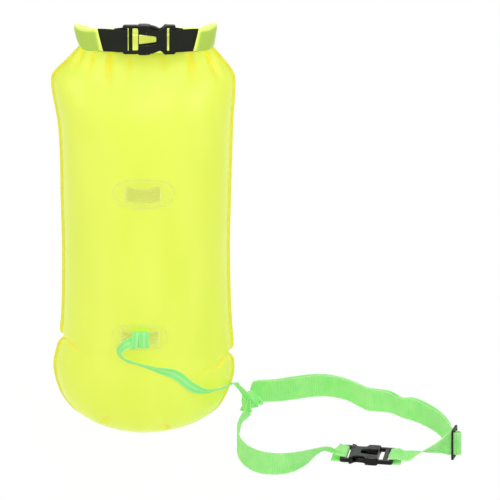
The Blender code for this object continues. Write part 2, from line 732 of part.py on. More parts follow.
def build_closure_tabs():
    """The two short straps of the closure, each round a bar of the buckle and back."""
    frame = closure_frame()
    half = UP * (WIDE_STRAP / 2)
    middle_y = -ROLL_LOOP_DEPTH
    plans = (
        ("closure_strap_left", 0.0, OUTER_BAR, 1, -ROLL_LEFT_END, TAB_INSET),
        ("closure_strap_right", BUCKLE_LENGTH, SOCKET_SLOT_END, -1, ROLL_RIGHT_END, TAB_INSET / 2),
    )
    for name, bar_end, edge, inward, roll_end, inset in plans:
        wrap = [frame @ Vector((x, 0.0, z)) for x, z in bar_wrap(edge, inward, WRAP_OFFSET)]
        outer = frame @ Vector((bar_end, 0.0, WRAP_OFFSET))
        inner = frame @ Vector((bar_end, 0.0, -WRAP_OFFSET))
        outward = -inward
        mouth = roll_end - outward * (ROLL_END_SLANT + 2 * TOUCH_GAP)
        start = Vector((roll_end + outward * inset, middle_y, ROLL_MIDDLE_Z))
        at_mouth = Vector((mouth, middle_y, ROLL_MIDDLE_Z))
        sewn = (at_mouth + outer) / 2
        back_layer = Vector((0.0, WIDE_STRAP_THICKNESS + TAIL_SPACE, 0.0))
        returned = inner.lerp(sewn + back_layer, TAB_RETURN / (sewn - outer).length)
        points = [start, at_mouth, sewn, outer] + wrap + [inner, returned]
        stations = [flat_station(point, half) for point in points]
        ribbon(name, stations, WIDE_STRAP_THICKNESS, (BLACK_NYLON, 0.45))


def flat_plate(name, outline, holes, thickness):
    """A flat shape with holes, as a mesh in the XY plane about z = 0."""
    curve = bpy.data.curves.new(name, "CURVE")
    curve.dimensions = "2D"
    curve.fill_mode = "BOTH"
    curve.extrude = thickness / 2
    for loop in [outline] + list(holes):
        spline = curve.splines.new("POLY")
        spline.points.add(len(loop) - 1)
        for point, (x, y) in zip(spline.points, loop):
            point.co = (x, y, 0.0, 1.0)
        spline.use_cyclic_u = True
    helper = bpy.data.objects.new(name, curve)
    bpy.context.scene.collection.objects.link(helper)
    mesh = settled_mesh(helper)
    bpy.data.objects.remove(helper)
    return mesh


def block_mesh(name, low, high):
    """A box between two corners."""
    shape = bmesh.new()
    low, high = Vector(low), Vector(high)
    bmesh.ops.create_cube(shape, size=1.0)
    for point in shape.verts:
        share = point.co + Vector((0.5, 0.5, 0.5))
        point.co = low + Vector(a * b for a, b in zip(share, high - low))
    mesh = bpy.data.meshes.new(name)
    shape.to_mesh(mesh)
    shape.free()
    return mesh


def rectangle(x_low, x_high, y_low, y_high):
    """Corners of a rectangle, in order."""
    return [(x_low, y_low), (x_high, y_low), (x_high, y_high), (x_low, y_high)]


def mirrored(half_outline):
    """A closed outline from its half at +y, listed along x."""
    return list(half_outline) + [(x, -y) for x, y in reversed(half_outline) if y > 0.0]


def cut_mesh(name, mesh, cutters, operation="DIFFERENCE"):
    """A mesh after its cutters, for pieces that are used twice."""
    body = bpy.data.objects.new(name, mesh)
    bpy.context.scene.collection.objects.link(body)
    for index, cutter_mesh in enumerate(cutters):
        cut(body, add_cutter(f"{name}_cut_{index}", cutter_mesh), operation)
    result = settled_mesh(body)
    bpy.data.objects.remove(body)
    result.name = name
    return result


def plug_mesh():
    """The plug half: a ladder of two bars, and a hollow shoulder that the two prongs turn in."""
    half = BUCKLE_WIDTH / 2
    inner = half - CORNER_CHAMFER / 2
    slot_half = SLOT_SPAN / 2
    spare_half = SPARE_SLOT_SPAN / 2
    ladder_end = SPARE_SLOT_END + CUT_OVERRUN
    ladder = [
        (0.0, inner - CORNER_CHAMFER),
        (CORNER_CHAMFER, inner),
        (ladder_end, inner),
    ]
    slots = [
        rectangle(OUTER_BAR, OUTER_BAR + STRAP_SLOT, -slot_half, slot_half),
        rectangle(SPARE_SLOT_START, ladder_end - CUT_OVERRUN / 2, -spare_half, spare_half),
    ]
    plate = flat_plate("plug_ladder", mirrored(ladder), slots, BAR_THICKNESS)
    shoulder_start = SPARE_SLOT_END
    shoulder_end = BUCKLE_SPLIT - SLIDE_GAP
    taper = (WINDOW_WIDE - WINDOW_NARROW) / 2 / (WINDOW_END - WINDOW_START)
    notch = WINDOW_WIDE / 2 - taper * (shoulder_end - WINDOW_START)
    shoulder = [
        (shoulder_start, half - CORNER_CHAMFER),
        (shoulder_start + CORNER_CHAMFER, half),
        (shoulder_end, half),
        (shoulder_end, notch),
        (WINDOW_START, WINDOW_WIDE / 2),
    ]
    block = flat_plate("plug_shoulder", mirrored(shoulder), [], BUCKLE_THICKNESS)
    body = cut_mesh("plug_joined", block, [plate], "UNION")
    pocket_half = PRONG_PIVOT_Y + PRONG_ROOT_RADIUS + 2 * SLIDE_GAP
    pocket = block_mesh(
        "plug_pocket",
        (POCKET_START, -pocket_half, -CHANNEL_HALF),
        (shoulder_end + CUT_OVERRUN, pocket_half, CHANNEL_HALF),
    )
    return cut_mesh("plug_half", body, [pocket])


def socket_mesh():
    """The socket half: two skins over the prongs, ears that hold them, and a frame with a bar."""
    half = BUCKLE_WIDTH / 2
    wide = half - CORNER_CHAMFER / 8
    start = BUCKLE_SPLIT + SLIDE_GAP
    frame_start = CHANNEL_END + CORNER_CHAMFER
    taper = (WINDOW_WIDE - WINDOW_NARROW) / 2 / (WINDOW_END - WINDOW_START)
    notch = WINDOW_NARROW / 2 + taper * (WINDOW_END - start)
    mouth_part = [
        (WINDOW_END, WINDOW_NARROW / 2),
        (start, notch),
        (start, wide),
        (LATCH_X, wide),
        (LATCH_X + CUT_OVERRUN / 4, SOCKET_WAIST),
        (CHANNEL_END - CORNER_CHAMFER, SOCKET_WAIST),
        (frame_start, wide),
        (SOCKET_SLOT_START - CUT_OVERRUN / 4, wide),
    ]
    body = flat_plate("socket_skins", mirrored(mouth_part), [], BUCKLE_THICKNESS)
    frame = [
        (CHANNEL_END, SOCKET_WAIST),
        (frame_start, wide),
        (BUCKLE_LENGTH - CORNER_CHAMFER, wide),
        (BUCKLE_LENGTH, wide - CORNER_CHAMFER),
    ]
    slot_half = SLOT_SPAN / 2
    slot = rectangle(SOCKET_SLOT_START, SOCKET_SLOT_END, -slot_half, slot_half)
    plate = flat_plate("socket_frame", mirrored(frame), [slot], BAR_THICKNESS)
    joined = cut_mesh("socket_joined", body, [plate], "UNION")
    spine = SPINE_WIDTH / 2
    mouth = start - CUT_OVERRUN
    outside = half + CUT_OVERRUN
    cutters = []
    for side in (1, -1):
        reaches = ((mouth, EAR_INNER, "throat"), (LATCH_X, outside, "side_window"))
        for x_low, y_far, label in reaches:
            near, far = sorted((side * spine, side * y_far))
            cutters.append(
                block_mesh(
                    f"socket_{label}",
                    (x_low, near, -CHANNEL_HALF),
                    (CHANNEL_END, far, CHANNEL_HALF),
                )
            )
    return cut_mesh("socket_half", joined, cutters)


def prong_mesh():
    """One springy prong of the plug half, on the +y side, with its bulge behind the socket's ear."""
    root = []
    for step in range(ROOT_STEPS + 1):
        angle = -math.pi / 2 - math.pi * step / ROOT_STEPS
        root.append(
            (
                PRONG_PIVOT_X + PRONG_ROOT_RADIUS * math.cos(angle),
                PRONG_PIVOT_Y + PRONG_ROOT_RADIUS * math.sin(angle),
            )
        )
    shoulder = LATCH_X + SLIDE_GAP
    tip_y = PRONG_PIVOT_Y + 2 * SLIDE_GAP
    length = PRONG_TIP_X - shoulder
    outer = [(shoulder, PRONG_WAIST), (shoulder, PRONG_BULGE)]
    for step in range(1, NOSE_STEPS):
        share = step / NOSE_STEPS
        drop = (PRONG_BULGE - tip_y) * share**NOSE_POWER_SHARE
        outer.append((shoulder + length * share, PRONG_BULGE - drop))
    tip = [
        (PRONG_TIP_X, tip_y + SLIDE_GAP),
        (PRONG_TIP_X - 3 * SLIDE_GAP, tip_y - PRONG_ROOT_RADIUS / 4),
    ]
    inner = [(shoulder, PRONG_PIVOT_Y - PRONG_ROOT_RADIUS + SLIDE_GAP)]
    return flat_plate("prong", root + outer + tip + inner, [], PRONG_THICKNESS)


def build_buckle(prefix, frame, prong_names, meshes):
    """One side-release buckle in its frame. Each prong turns about its own origin."""
    plug, socket, prong = meshes
    finish = (BLACK_NYLON, 0.4)
    carrier = bpy.data.objects.new(f"{prefix}_frame", None)
    bpy.data.collections["swim_buoy"].objects.link(carrier)
    carrier.matrix_world = frame
    plans = [(f"{prefix}_male", plug), (f"{prefix}_female", socket)]
    for name, mesh in plans:
        part = add_part(name, mesh.copy(), finish)
        part.parent = carrier
    for name, side in zip(prong_names, (1, -1)):
        mesh = prong.copy()
        pivot = Vector((PRONG_PIVOT_X, side * PRONG_PIVOT_Y, 0.0))
        for point in mesh.vertices:
            point.co = Vector((point.co.x, side * point.co.y, point.co.z)) - pivot
        if side < 0:
            mesh.flip_normals()
        part = add_part(name, mesh, finish)
        part.parent = carrier
        part.location = pivot


def build_buckles():
    """The closure buckle and the belt buckle, which are the same size."""
    meshes = (plug_mesh(), socket_mesh(), prong_mesh())
    closure_names = ("closure_prong_upper", "closure_prong_lower")
    build_buckle("closure", closure_frame(), closure_names, meshes)
    belt_names = ("belt_prong_front", "belt_prong_back")
    build_buckle("belt", belt_frame(), belt_names, meshes)


def floor_stations(rows, rise=TOUCH_GAP):
    """Stations of a belt strap from its route rows, each resting on the surface unless lifted."""
    dense = smooth_rows(rows, ROUTE_STEPS)
    plan = [Vector((*belt_point(row[0], row[1]), 0.0)) for row in dense]
    half = WIDE_STRAP / 2
    stations = []
    for index, row in enumerate(dense):
        lean, fold = math.radians(row[2]), math.radians(row[3])
        ahead = plan[min(index + 1, len(plan) - 1)] - plan[max(index - 1, 0)]
        heading = ahead.normalized()
        right = Vector((heading.y, -heading.x, 0.0))
        edge = UP * math.cos(lean) + right * math.sin(lean)
        lift = heading.cross(edge)
        low = half * (math.cos(fold) * abs(math.cos(lean)) - math.sin(fold) * lift.z)
        height = max(low, 0.0) + WIDE_STRAP_THICKNESS / 2 * abs(math.sin(lean))
        height += row[4] * WIDE_STRAP + rise
        middle = plan[index] + UP * height
        stations.append((middle, edge * half * math.cos(fold), lift * half * math.sin(fold)))
    return stations


def build_front_run():
    """The belt from the socket's bar, over and under it, along the front and up to the tether."""
    frame = belt_frame()
    half = frame.to_3x3() @ Vector((0.0, -WIDE_STRAP / 2, 0.0))
    wrap = [frame @ Vector((x, 0.0, z)) for x, z in bar_wrap(SOCKET_SLOT_END, -1, WRAP_OFFSET)]
    wrap.reverse()
    under = [
        frame @ Vector((BUCKLE_LENGTH + BELT_RETURN, 0.0, -WRAP_OFFSET)),
        frame @ Vector((BUCKLE_LENGTH, 0.0, -WRAP_OFFSET)),
    ]
    over = [
        frame @ Vector((BUCKLE_LENGTH, 0.0, WRAP_OFFSET)),
        frame @ Vector((BUCKLE_LENGTH + TAB_RETURN / 2, 0.0, WRAP_OFFSET + BELT_LIFT)),
    ]
    stations = [flat_station(point, half) for point in under + wrap + over]
    stations += floor_stations(BELT_FRONT_SHARES)
    ribbon("belt_front_run", stations, WIDE_STRAP_THICKNESS, (BELT_GREEN, 0.6))


def build_buckle_run():
    """The belt from the slider, twisting flat, over the plug's outer bar and back under it."""
    frame = belt_frame()
    half = frame.to_3x3() @ Vector((0.0, WIDE_STRAP / 2, 0.0))
    wrap = [frame @ Vector((x, 0.0, z)) for x, z in bar_wrap(OUTER_BAR, 1, WRAP_OFFSET)]
    over = [
        frame @ Vector((-TAB_RETURN / 2, 0.0, WRAP_OFFSET + BELT_PLUG_LIFT)),
        frame @ Vector((0.0, 0.0, WRAP_OFFSET)),
    ]
    under = [
        frame @ Vector((0.0, 0.0, -WRAP_OFFSET)),
        frame @ Vector((-TAB_RETURN, 0.0, -WRAP_OFFSET)),
    ]
    stations = floor_stations(BELT_BUCKLE_RUN_SHARES)
    stations += [flat_station(point, half) for point in over + wrap + under]
    ribbon("belt_buckle_run", stations, WIDE_STRAP_THICKNESS, (BELT_GREEN, 0.6))


def build_back_run():
    """The belt from the tether round the back to the slider, and its tail on the outside."""
    stations = floor_stations(BELT_BACK_SHARES)
    ribbon("belt_back_run", stations, WIDE_STRAP_THICKNESS, (BELT_GREEN, 0.6))
    dense = smooth_rows([(gap,) for gap in BELT_TAIL_GAP_SHARES], GAP_STEPS)
    low, high = (round(share * (len(stations) - 1)) for share in TAIL_STOP_SHARES)
    tail = []
    for index in range(low, high + 1):
        middle, half, lift = stations[index]
        before = stations[max(index - 1, 0)][0]
        after = stations[min(index + 1, len(stations) - 1)][0]
        heading = Vector((after.x - before.x, after.y - before.y, 0.0)).normalized()
        outside = Vector((-heading.y, heading.x, 0.0))
        share = (index - low) / (high - low)
        gap = max(float(dense[round(share * (len(dense) - 1))][0]), 0.0) * WIDE_STRAP
        away = WIDE_STRAP_THICKNESS + TAIL_SPACE + gap
        tail.append((middle + outside * away, half, lift))
    ribbon("belt_tail", tail, WIDE_STRAP_THICKNESS, (BELT_GREEN, 0.6))


def slider_frame():
    """The slider stands on its long edge, its face to the outside of the loop."""
    x, y = belt_point(*SLIDER_SHARES)
    along = (math.cos(SLIDER_TURN), math.sin(SLIDER_TURN), 0.0)
    out = Vector(along).cross(UP)
    return frame_of((x, y, SLIDER_HEIGHT / 2), along, out)


def build_slider():
    """The three-bar slider, and the turn of webbing round its middle bar."""
    half_height = SLIDER_HEIGHT / 2
    half_length = SLIDER_LENGTH / 2
    corner = SLIDER_SIDE
    outline = [
        (-half_length, half_height - corner),
        (-half_length + corner / 2, half_height),
        (half_length - corner / 2, half_height),
        (half_length, half_height - corner),
    ]
    slot_half = SLOT_SPAN / 2
    inner = half_length - SLIDER_SIDE
    slots = [
        rectangle(inner - SLIDER_SLOT, inner, -slot_half, slot_half),
        rectangle(-inner, SLIDER_SLOT - inner, -slot_half, slot_half),
    ]
    mesh = flat_plate("belt_slider", mirrored(outline), slots, SLIDER_THICKNESS)
    slider = add_part("belt_slider", mesh, (BLACK_NYLON, 0.4))
    slider.matrix_world = slider_frame()

    frame = slider_frame()
    half = UP * (WIDE_STRAP / 2)
    clear = WIDE_STRAP_THICKNESS / 2 + TOUCH_GAP
    reach = inner - SLIDER_SLOT + clear
    inside = -SLIDER_THICKNESS / 2 - clear
    back_run = floor_stations(BELT_BACK_SHARES)
    buckle_run = floor_stations(BELT_BUCKLE_RUN_SHARES)
    arriving = (back_run[-1][0] - back_run[-2][0]).normalized()
    leaving = (buckle_run[1][0] - buckle_run[0][0]).normalized()
    route = [
        back_run[-1][0] + arriving * TOUCH_GAP,
        back_run[-1][0] + arriving * WIDE_STRAP_THICKNESS,
        frame @ Vector((reach, 0.0, inside)),
    ]
    for step in range(TURN_STEPS + 1):
        angle = math.pi * step / TURN_STEPS
        out = SLIDER_THICKNESS / 2 + TURN_BULGE * math.sin(angle) ** TURN_SHAPE_SHARE
        route.append(frame @ Vector((reach * math.cos(angle), 0.0, out)))
    route += [
        frame @ Vector((-reach, 0.0, inside)),
        buckle_run[0][0] - leaving * WIDE_STRAP_THICKNESS,
        buckle_run[0][0] - leaving * TOUCH_GAP,
    ]
    stations = [flat_station(point, half) for point in route]
    ribbon("belt_turn", stations, WIDE_STRAP_THICKNESS, (BELT_GREEN, 0.6))


def build_patch(name, centre_x, centre_z, wide, tall, bridge_wide, bridge_tall):
    """A welded base on the front panel, and the bridge over it that a strap passes under."""

    def place(across, up):
        a, b = 2 * across - 1, 2 * up - 1
        u = a * math.sqrt(1 - PATCH_CORNER_SHARE * b * b)
        v = b * math.sqrt(1 - PATCH_CORNER_SHARE * a * a)
        out = SKIN_GAP + PATCH_WALL / 2
        return on_front(centre_x + u * wide / 2, centre_z + v * tall / 2, out)[0]

    mesh = grid_mesh(f"{name}_patch", PATCH_COLUMNS, PATCH_ROWS, place)
    base = add_part(f"{name}_patch", mesh, (CLEAR_VINYL, 0.25))
    solidify(base, PATCH_WALL, 0.0)
    half = UP * (bridge_tall / 2)
    seat = SKIN_GAP + PATCH_WALL + TOUCH_GAP + BRIDGE_WALL / 2
    reach = bridge_wide / 2
    ramp_end = reach - BRIDGE_FOOT - BRIDGE_RAMP
    top_y = on_front(centre_x, centre_z, seat + BRIDGE_LIFT)[0].y
    stations = []
    for x in (-reach, -reach + BRIDGE_FOOT, -ramp_end, ramp_end, reach - BRIDGE_FOOT, reach):
        place_x = centre_x + x
        if abs(x) > ramp_end:
            lowest = min(front_y(place_x, centre_z + side * bridge_tall / 2) for side in (-1, 0, 1))
            y = lowest - seat - TOUCH_GAP
        else:
            y = top_y
        stations.append(flat_station((place_x, y, centre_z), half))
    bridge = ribbon(f"{name}_loop", stations, BRIDGE_WALL, (CLEAR_VINYL, 0.25))
    round_edges(bridge, BRIDGE_WALL / 4, 1)
    return top_y


def build_hitch(top_y):
    """The tether's hitch round the lower bridge: up behind it, over its edges and across its face."""
    half = Vector((TETHER_WIDTH * HITCH_HALF_SHARE, 0.0, 0.0))
    clear = TETHER_THICKNESS / 2 + TOUCH_GAP
    tall = LOWER_BRIDGE_TALL / 2 + clear
    front = top_y - BRIDGE_WALL / 2 - clear
    back = top_y + BRIDGE_WALL / 2 + clear
    turn = 2 * clear
    corners = [
        (front, -tall / 4),
        (front, tall - turn),
        (front + turn / 3, tall),
        (back - turn / 3, tall),
        (back, tall - turn),
        (back, turn - tall),
        (back - turn / 3, -tall),
        (front + turn / 3, -tall),
        (front, turn - tall),
        (front, -tall / 4 - 2 * TETHER_THICKNESS),
    ]
    x = -LOWER_PATCH_SHIFT + TETHER_WIDTH / 10
    stations = [flat_station((x, y, LOWER_PATCH_HEIGHT + z), half) for y, z in corners]
    ribbon("tether_hitch", stations, TETHER_THICKNESS, (TETHER_GREEN, 0.6))


def tether_loop_frame():
    """Where the tether's end loop goes round the pinched belt: its middle and its two ways."""
    before = Vector((*belt_point(*BELT_FRONT_SHARES[-1][:2]), 0.0))
    after = Vector((*belt_point(*BELT_BACK_SHARES[0][:2]), 0.0))
    along = (after - before).normalized()
    across = Vector((along.y, -along.x, 0.0))
    return before - along * TETHER_LOOP_SETBACK, along, across


def build_tether():
    """The tether from the hitch over the lobe to its end loop round the belt."""
    rows = []
    for x, z, out in TETHER_ON_BUOY:
        middle, normal = on_front(x, z, out)
        rows.append((*middle, *normal))
    middle, along, across = tether_loop_frame()
    lap = TETHER_LOOP_TALL + TETHER_THICKNESS + 2 * TOUCH_GAP
    to_belt = [(Vector(point), Vector(width)) for point, width in TETHER_TO_BELT]
    for ahead, rise in TETHER_LAP_SHARES:
        height = lap + TETHER_LOOP_TALL * rise
        to_belt.append((middle + along * TETHER_WIDTH * ahead + UP * height, across))
    for point, _ in to_belt:
        rows.append((*point, 0.0, 0.0, 0.0))
    dense = smooth_rows([row[:3] for row in rows], TETHER_STEPS)
    widths = []
    for index, row in enumerate(rows):
        if index < len(TETHER_ON_BUOY):
            before = Vector(rows[max(index - 1, 0)][:3])
            after = Vector(rows[index + 1][:3])
            width = (after - before).cross(Vector(row[3:])).normalized()
        else:
            width = to_belt[index - len(TETHER_ON_BUOY)][1].normalized()
        if widths and width.dot(Vector(widths[-1])) < 0:
            width = -width
        widths.append(tuple(width))
    dense_widths = smooth_rows(widths, TETHER_STEPS)
    stations = []
    for index, point in enumerate(dense):
        after = Vector(dense[min(index + 1, len(dense) - 1)])
        heading = (after - Vector(dense[max(index - 1, 0)])).normalized()
        width = Vector(dense_widths[index])
        width = (width - heading * width.dot(heading)).normalized()
        stations.append(flat_station(point, width * TETHER_WIDTH / 2))
    ribbon("tether_webbing", stations, TETHER_THICKNESS, (TETHER_GREEN, 0.6))
    half = along * (TETHER_WIDTH / 2)
    base = TETHER_THICKNESS / 2
    wide, back, tall = TETHER_LOOP_WIDE, TETHER_LOOP_BACK, TETHER_LOOP_TALL
    mid, corner, mid_rise, corner_rise = TETHER_RING_LOW_SHARES
    ring = []
    for out, rise in TETHER_RING_SHARES:
        ring.append((out * (wide if out > 0 else back), tall * rise))
    ring.append((wide * corner, base * corner_rise))
    ring.append((mid, base * mid_rise))
    ring.append((-back * corner, base * corner_rise))
    for out, rise in TETHER_RING_BACK_SHARES:
        ring.append((back * out, tall * rise))
    stations = []
    for side, height in smooth_rows(ring, RING_STEPS):
        stations.append(flat_station(middle + across * side + UP * height, half))
    ribbon("tether_end_loop", stations, TETHER_THICKNESS, (TETHER_GREEN, 0.6))


def turned_mesh(name, profile, steps=LATHE_STEPS):
    """A solid turned about its own z axis. The profile runs down the outer side, as (radius, z)."""
    mesh = bpy.data.meshes.new(name)
    points = [(radius, 0.0, z) for radius, z in profile]
    closed = profile[0][0] > 0.0
    edges = [(index, index + 1) for index in range(len(points) - 1)]
    if closed:
        edges.append((len(points) - 1, 0))
    mesh.from_pydata(points, edges, [])
    helper = bpy.data.objects.new(name, mesh)
    bpy.context.scene.collection.objects.link(helper)
    screw = helper.modifiers.new("turned", "SCREW")
    screw.steps = steps
    screw.render_steps = steps
    screw.use_merge_vertices = True
    screw.merge_threshold = TOUCH_GAP / 30
    result = settled_mesh(helper)
    bpy.data.objects.remove(helper)
    return result


def build_valve(side_name, side):
    """An inflation valve: flange and stem through the panel, flap inside, and plug on a leash."""
    middle, normal = on_front(side * VALVE_SPACING / 2, VALVE_HEIGHT, 0.0)
    middle.y, normal.y = -middle.y, -normal.y
    turned = normal.to_track_quat("Z", "Y").to_matrix().to_4x4()
    frame = Matrix.Translation(middle) @ turned
    seat = SKIN_GAP + FLANGE_RADIUS**2 / (2 * BODY_WIDTH)
    flange_top = seat + FLANGE_THICKNESS
    stem_top = flange_top + STEM_RISE
    finish = (CLEAR_VINYL, 0.3)

    hole = add_cutter(
        f"valve_hole_{side_name}",
        turned_mesh(
            f"valve_hole_{side_name}",
            [
                (0.0, stem_top),
                (STEM_RADIUS + SKIN_GAP, stem_top),
                (STEM_RADIUS + SKIN_GAP, -STEM_DROP),
                (0.0, -STEM_DROP),
            ],
        ),
    )
    hole.matrix_world = frame
    cut(bpy.data.objects["back_panel"], hole)

    bore = STEM_BORE
    body_profile = [
        (bore, stem_top),
        (STEM_RADIUS, stem_top),
        (STEM_RADIUS, flange_top + STEM_RADIUS / 4),
        (STEM_RADIUS + STEM_RADIUS / 4, flange_top),
        (FLANGE_RADIUS, flange_top),
        (FLANGE_RADIUS, seat),
        (STEM_RADIUS, seat),
        (STEM_RADIUS, -STEM_DROP),
        (bore, -STEM_DROP),
    ]
    body = add_part(f"valve_body_{side_name}", turned_mesh("valve_body", body_profile), finish)
    body.matrix_world = frame

    flap_top = -STEM_DROP - TOUCH_GAP
    flap_profile = [
        (0.0, flap_top),
        (FLAP_RADIUS, flap_top),
        (FLAP_RADIUS, flap_top - FLAP_THICKNESS),
        (0.0, flap_top - FLAP_THICKNESS),
    ]
    flap_mesh = turned_mesh("valve_flap", flap_profile, FLAP_STEPS)
    flap = add_part(f"valve_flap_{side_name}", flap_mesh, finish)
    flap.matrix_world = frame

    cap_low = stem_top + TOUCH_GAP
    shaft = STEM_BORE - SLIDE_GAP
    plug_profile = [
        (0.0, cap_low + PLUG_CAP_THICKNESS),
        (PLUG_CAP_RADIUS - PLUG_CAP_THICKNESS / 2, cap_low + PLUG_CAP_THICKNESS),
        (PLUG_CAP_RADIUS, cap_low + PLUG_CAP_THICKNESS / 2),
        (PLUG_CAP_RADIUS, cap_low),
        (shaft, cap_low),
        (shaft, cap_low - PLUG_SHAFT_LENGTH),
        (0.0, cap_low - PLUG_SHAFT_LENGTH),
    ]
    plug = add_part(f"valve_plug_{side_name}", turned_mesh("valve_plug", plug_profile), finish)
    plug.matrix_world = frame

    half = Vector((LEASH_WIDTH / 2, 0.0, 0.0))
    flange_seat = flange_top + TOUCH_GAP + LEASH_THICKNESS / 2
    cap_side = PLUG_CAP_RADIUS + TOUCH_GAP + LEASH_THICKNESS / 2
    route = [(FLANGE_RADIUS * out, flange_seat + STEM_RISE * rise) for out, rise in LEASH_SHARES]
    route.append((cap_side, cap_low + PLUG_CAP_THICKNESS * LEASH_CAP_SHARE))
    stations = []
    for out, height in smooth_rows(route, RING_STEPS):
        stations.append(flat_station((0.0, out, height), half))
    leash = ribbon(f"valve_leash_{side_name}", stations, LEASH_THICKNESS, finish)
    leash.matrix_world = frame


def main():
    """Build the whole buoy."""
    clear_scene()
    new_collection("swim_buoy")
    new_collection("cutters").hide_render = True
    build_panels()
    build_liner()
    build_weld()
    build_roll()
    build_closure_tabs()
    build_buckles()
    build_patch(
        "centre",
        0.0,
        CENTRE_PATCH_HEIGHT,
        CENTRE_PATCH_WIDTH,
        CENTRE_PATCH_TALL,
        CENTRE_BRIDGE_WIDTH,
        CENTRE_BRIDGE_TALL,
    )
    lower_top = build_patch(
        "lower",
        -LOWER_PATCH_SHIFT,
        LOWER_PATCH_HEIGHT,
        LOWER_PATCH_WIDTH,
        LOWER_PATCH_TALL,
        LOWER_BRIDGE_WIDTH,
        LOWER_BRIDGE_TALL,
    )
    build_hitch(lower_top)
    build_tether()
    build_front_run()
    build_back_run()
    build_buckle_run()
    build_slider()
    build_valve("left", -1)
    build_valve("right", 1)


main()
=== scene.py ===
"""Open water swim buoy: its dressed pieces, their finishes, the studio light and the camera.

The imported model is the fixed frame. Every solid is replaced here by a finished piece: the inflated
film with its pleats and puckers, the rolled mouth as a spiral of film, the webbing, the clear patches,
the valves, and the moulded buckles with rounded edges. Metres, +Z up, the front faces -Y.
"""

from __future__ import annotations

import logging
import math
from dataclasses import dataclass
from enum import Enum
from typing import Any, Sequence

import bpy
import numpy as np
from mathutils import Matrix, Vector

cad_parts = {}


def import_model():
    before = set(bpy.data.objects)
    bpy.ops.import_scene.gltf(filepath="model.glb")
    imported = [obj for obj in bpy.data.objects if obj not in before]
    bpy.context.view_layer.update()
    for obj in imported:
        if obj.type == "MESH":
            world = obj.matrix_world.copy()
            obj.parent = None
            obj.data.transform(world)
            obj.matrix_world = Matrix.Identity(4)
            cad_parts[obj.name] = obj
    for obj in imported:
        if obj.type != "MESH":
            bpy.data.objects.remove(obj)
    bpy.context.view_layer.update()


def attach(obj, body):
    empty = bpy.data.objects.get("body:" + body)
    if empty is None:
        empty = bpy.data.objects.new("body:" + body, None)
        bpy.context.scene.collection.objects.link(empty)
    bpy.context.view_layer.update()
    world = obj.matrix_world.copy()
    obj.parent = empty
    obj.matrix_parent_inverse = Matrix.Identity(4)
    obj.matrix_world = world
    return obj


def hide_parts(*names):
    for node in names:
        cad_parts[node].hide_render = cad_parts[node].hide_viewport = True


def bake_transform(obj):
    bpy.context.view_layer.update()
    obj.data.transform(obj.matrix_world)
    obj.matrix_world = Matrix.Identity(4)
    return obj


LOG = logging.getLogger("swim_buoy")
Array = np.ndarray
Pairs = Sequence[tuple[float, float]]
Outline = list[tuple[float, float]]
Piece = bpy.types.Object
Tree = bpy.types.NodeTree
Socket = bpy.types.NodeSocket
UP = np.array([0.0, 0.0, 1.0])
LEVEL = np.array([1.0, 1.0, 0.0])
FULL_TURN = 2.0 * math.pi
TOUCH = 0.0003  # air between pieces that touch
BEYOND = 0.02  # past every face that a cut goes through
BAND_SCALE = FULL_TURN / 20  # a Wave texture's scale for bands a metre apart


class Hue(Enum):
    """Colours as they look on the object, in sRGB; some stand for painted shade, highlight and glint, as
    noted at each.
    """

    FILM = "#EAF75C"
    FILM_DEEP = "#DCEE3C"
    # painted shade in the pleats, and along the weld line the doubled film's deeper tint together with
    # painted shade
    FILM_WELD_TINT_AND_SHADE = "#F4E826"
    WELD = "#F5F74E"
    WELD_DEEP = "#F4F13E"
    ROLL = "#94B139"
    # painted highlight on the roll's folded ends, its top in front and its back part
    ROLL_PAINTED_HIGHLIGHT = "#E8F66A"
    BELT = "#B8FE9F"
    # painted shade in the belt's rib grooves, mixed with a random tone
    BELT_GROOVE_SHADE = "#7AE86C"
    BELT_PALE = "#C4FDB2"
    TETHER = "#9AF58C"
    # painted shade in the tether's rib grooves, mixed with a random tone
    TETHER_GROOVE_SHADE = "#84EA7C"
    TETHER_PALE = "#B2FAA4"
    # BLACK_WEB is the painted shade in the black webbing's rib grooves
    BLACK_WEB = "#15170F"
    BLACK_WEB_PALE = "#1F221A"
    BLACK_PLASTIC = "#0D0E0B"
    BLACK_PLASTIC_PALE = "#171814"
    VINYL = "#EDF070"
    # painted glint on the vinyl's ripple crests, the pale colour of the edge beads and lines, and the
    # colour of the vinyl's glow
    VINYL_GLINT = "#F2F4A8"
    LINER = "#DDE6CC"
    FLOOR = "#F4F4F2"


def linear(hue: Hue) -> tuple[float, float, float, float]:
    """An sRGB hex colour as linear red, green, blue and alpha.

    Args:
        hue: the colour as it looks.

    Returns:
        Four numbers for a colour socket.
    """
    parts = [int(hue.value[index : index + 2], 16) / 255 for index in (1, 3, 5)]
    found = [part / 12.92 if part <= 0.04045 else ((part + 0.055) / 1.055) ** 2.4 for part in parts]
    return found[0], found[1], found[2], 1.0


# Making


def deselect() -> None:
    """Leave nothing selected, in object mode."""
    if bpy.context.mode != "OBJECT":
        bpy.ops.object.mode_set(mode="OBJECT")
    bpy.ops.object.select_all(action="DESELECT")


def pick(piece: Piece) -> None:
    """Make a piece the only one selected, and the active one."""
    deselect()
    piece.select_set(True)
    bpy.context.view_layer.objects.active = piece


def places_of(piece: Piece) -> Array:
    """The points of a piece's mesh as an array of rows."""
    flat = np.empty(len(piece.data.vertices) * 3)
    piece.data.vertices.foreach_get("co", flat)
    return flat.reshape(-1, 3)


def set_places(piece: Piece, places: Array) -> None:
    """Move the points of a piece's mesh."""
    piece.data.vertices.foreach_set("co", np.ascontiguousarray(places, dtype=float).ravel())
    piece.data.update()


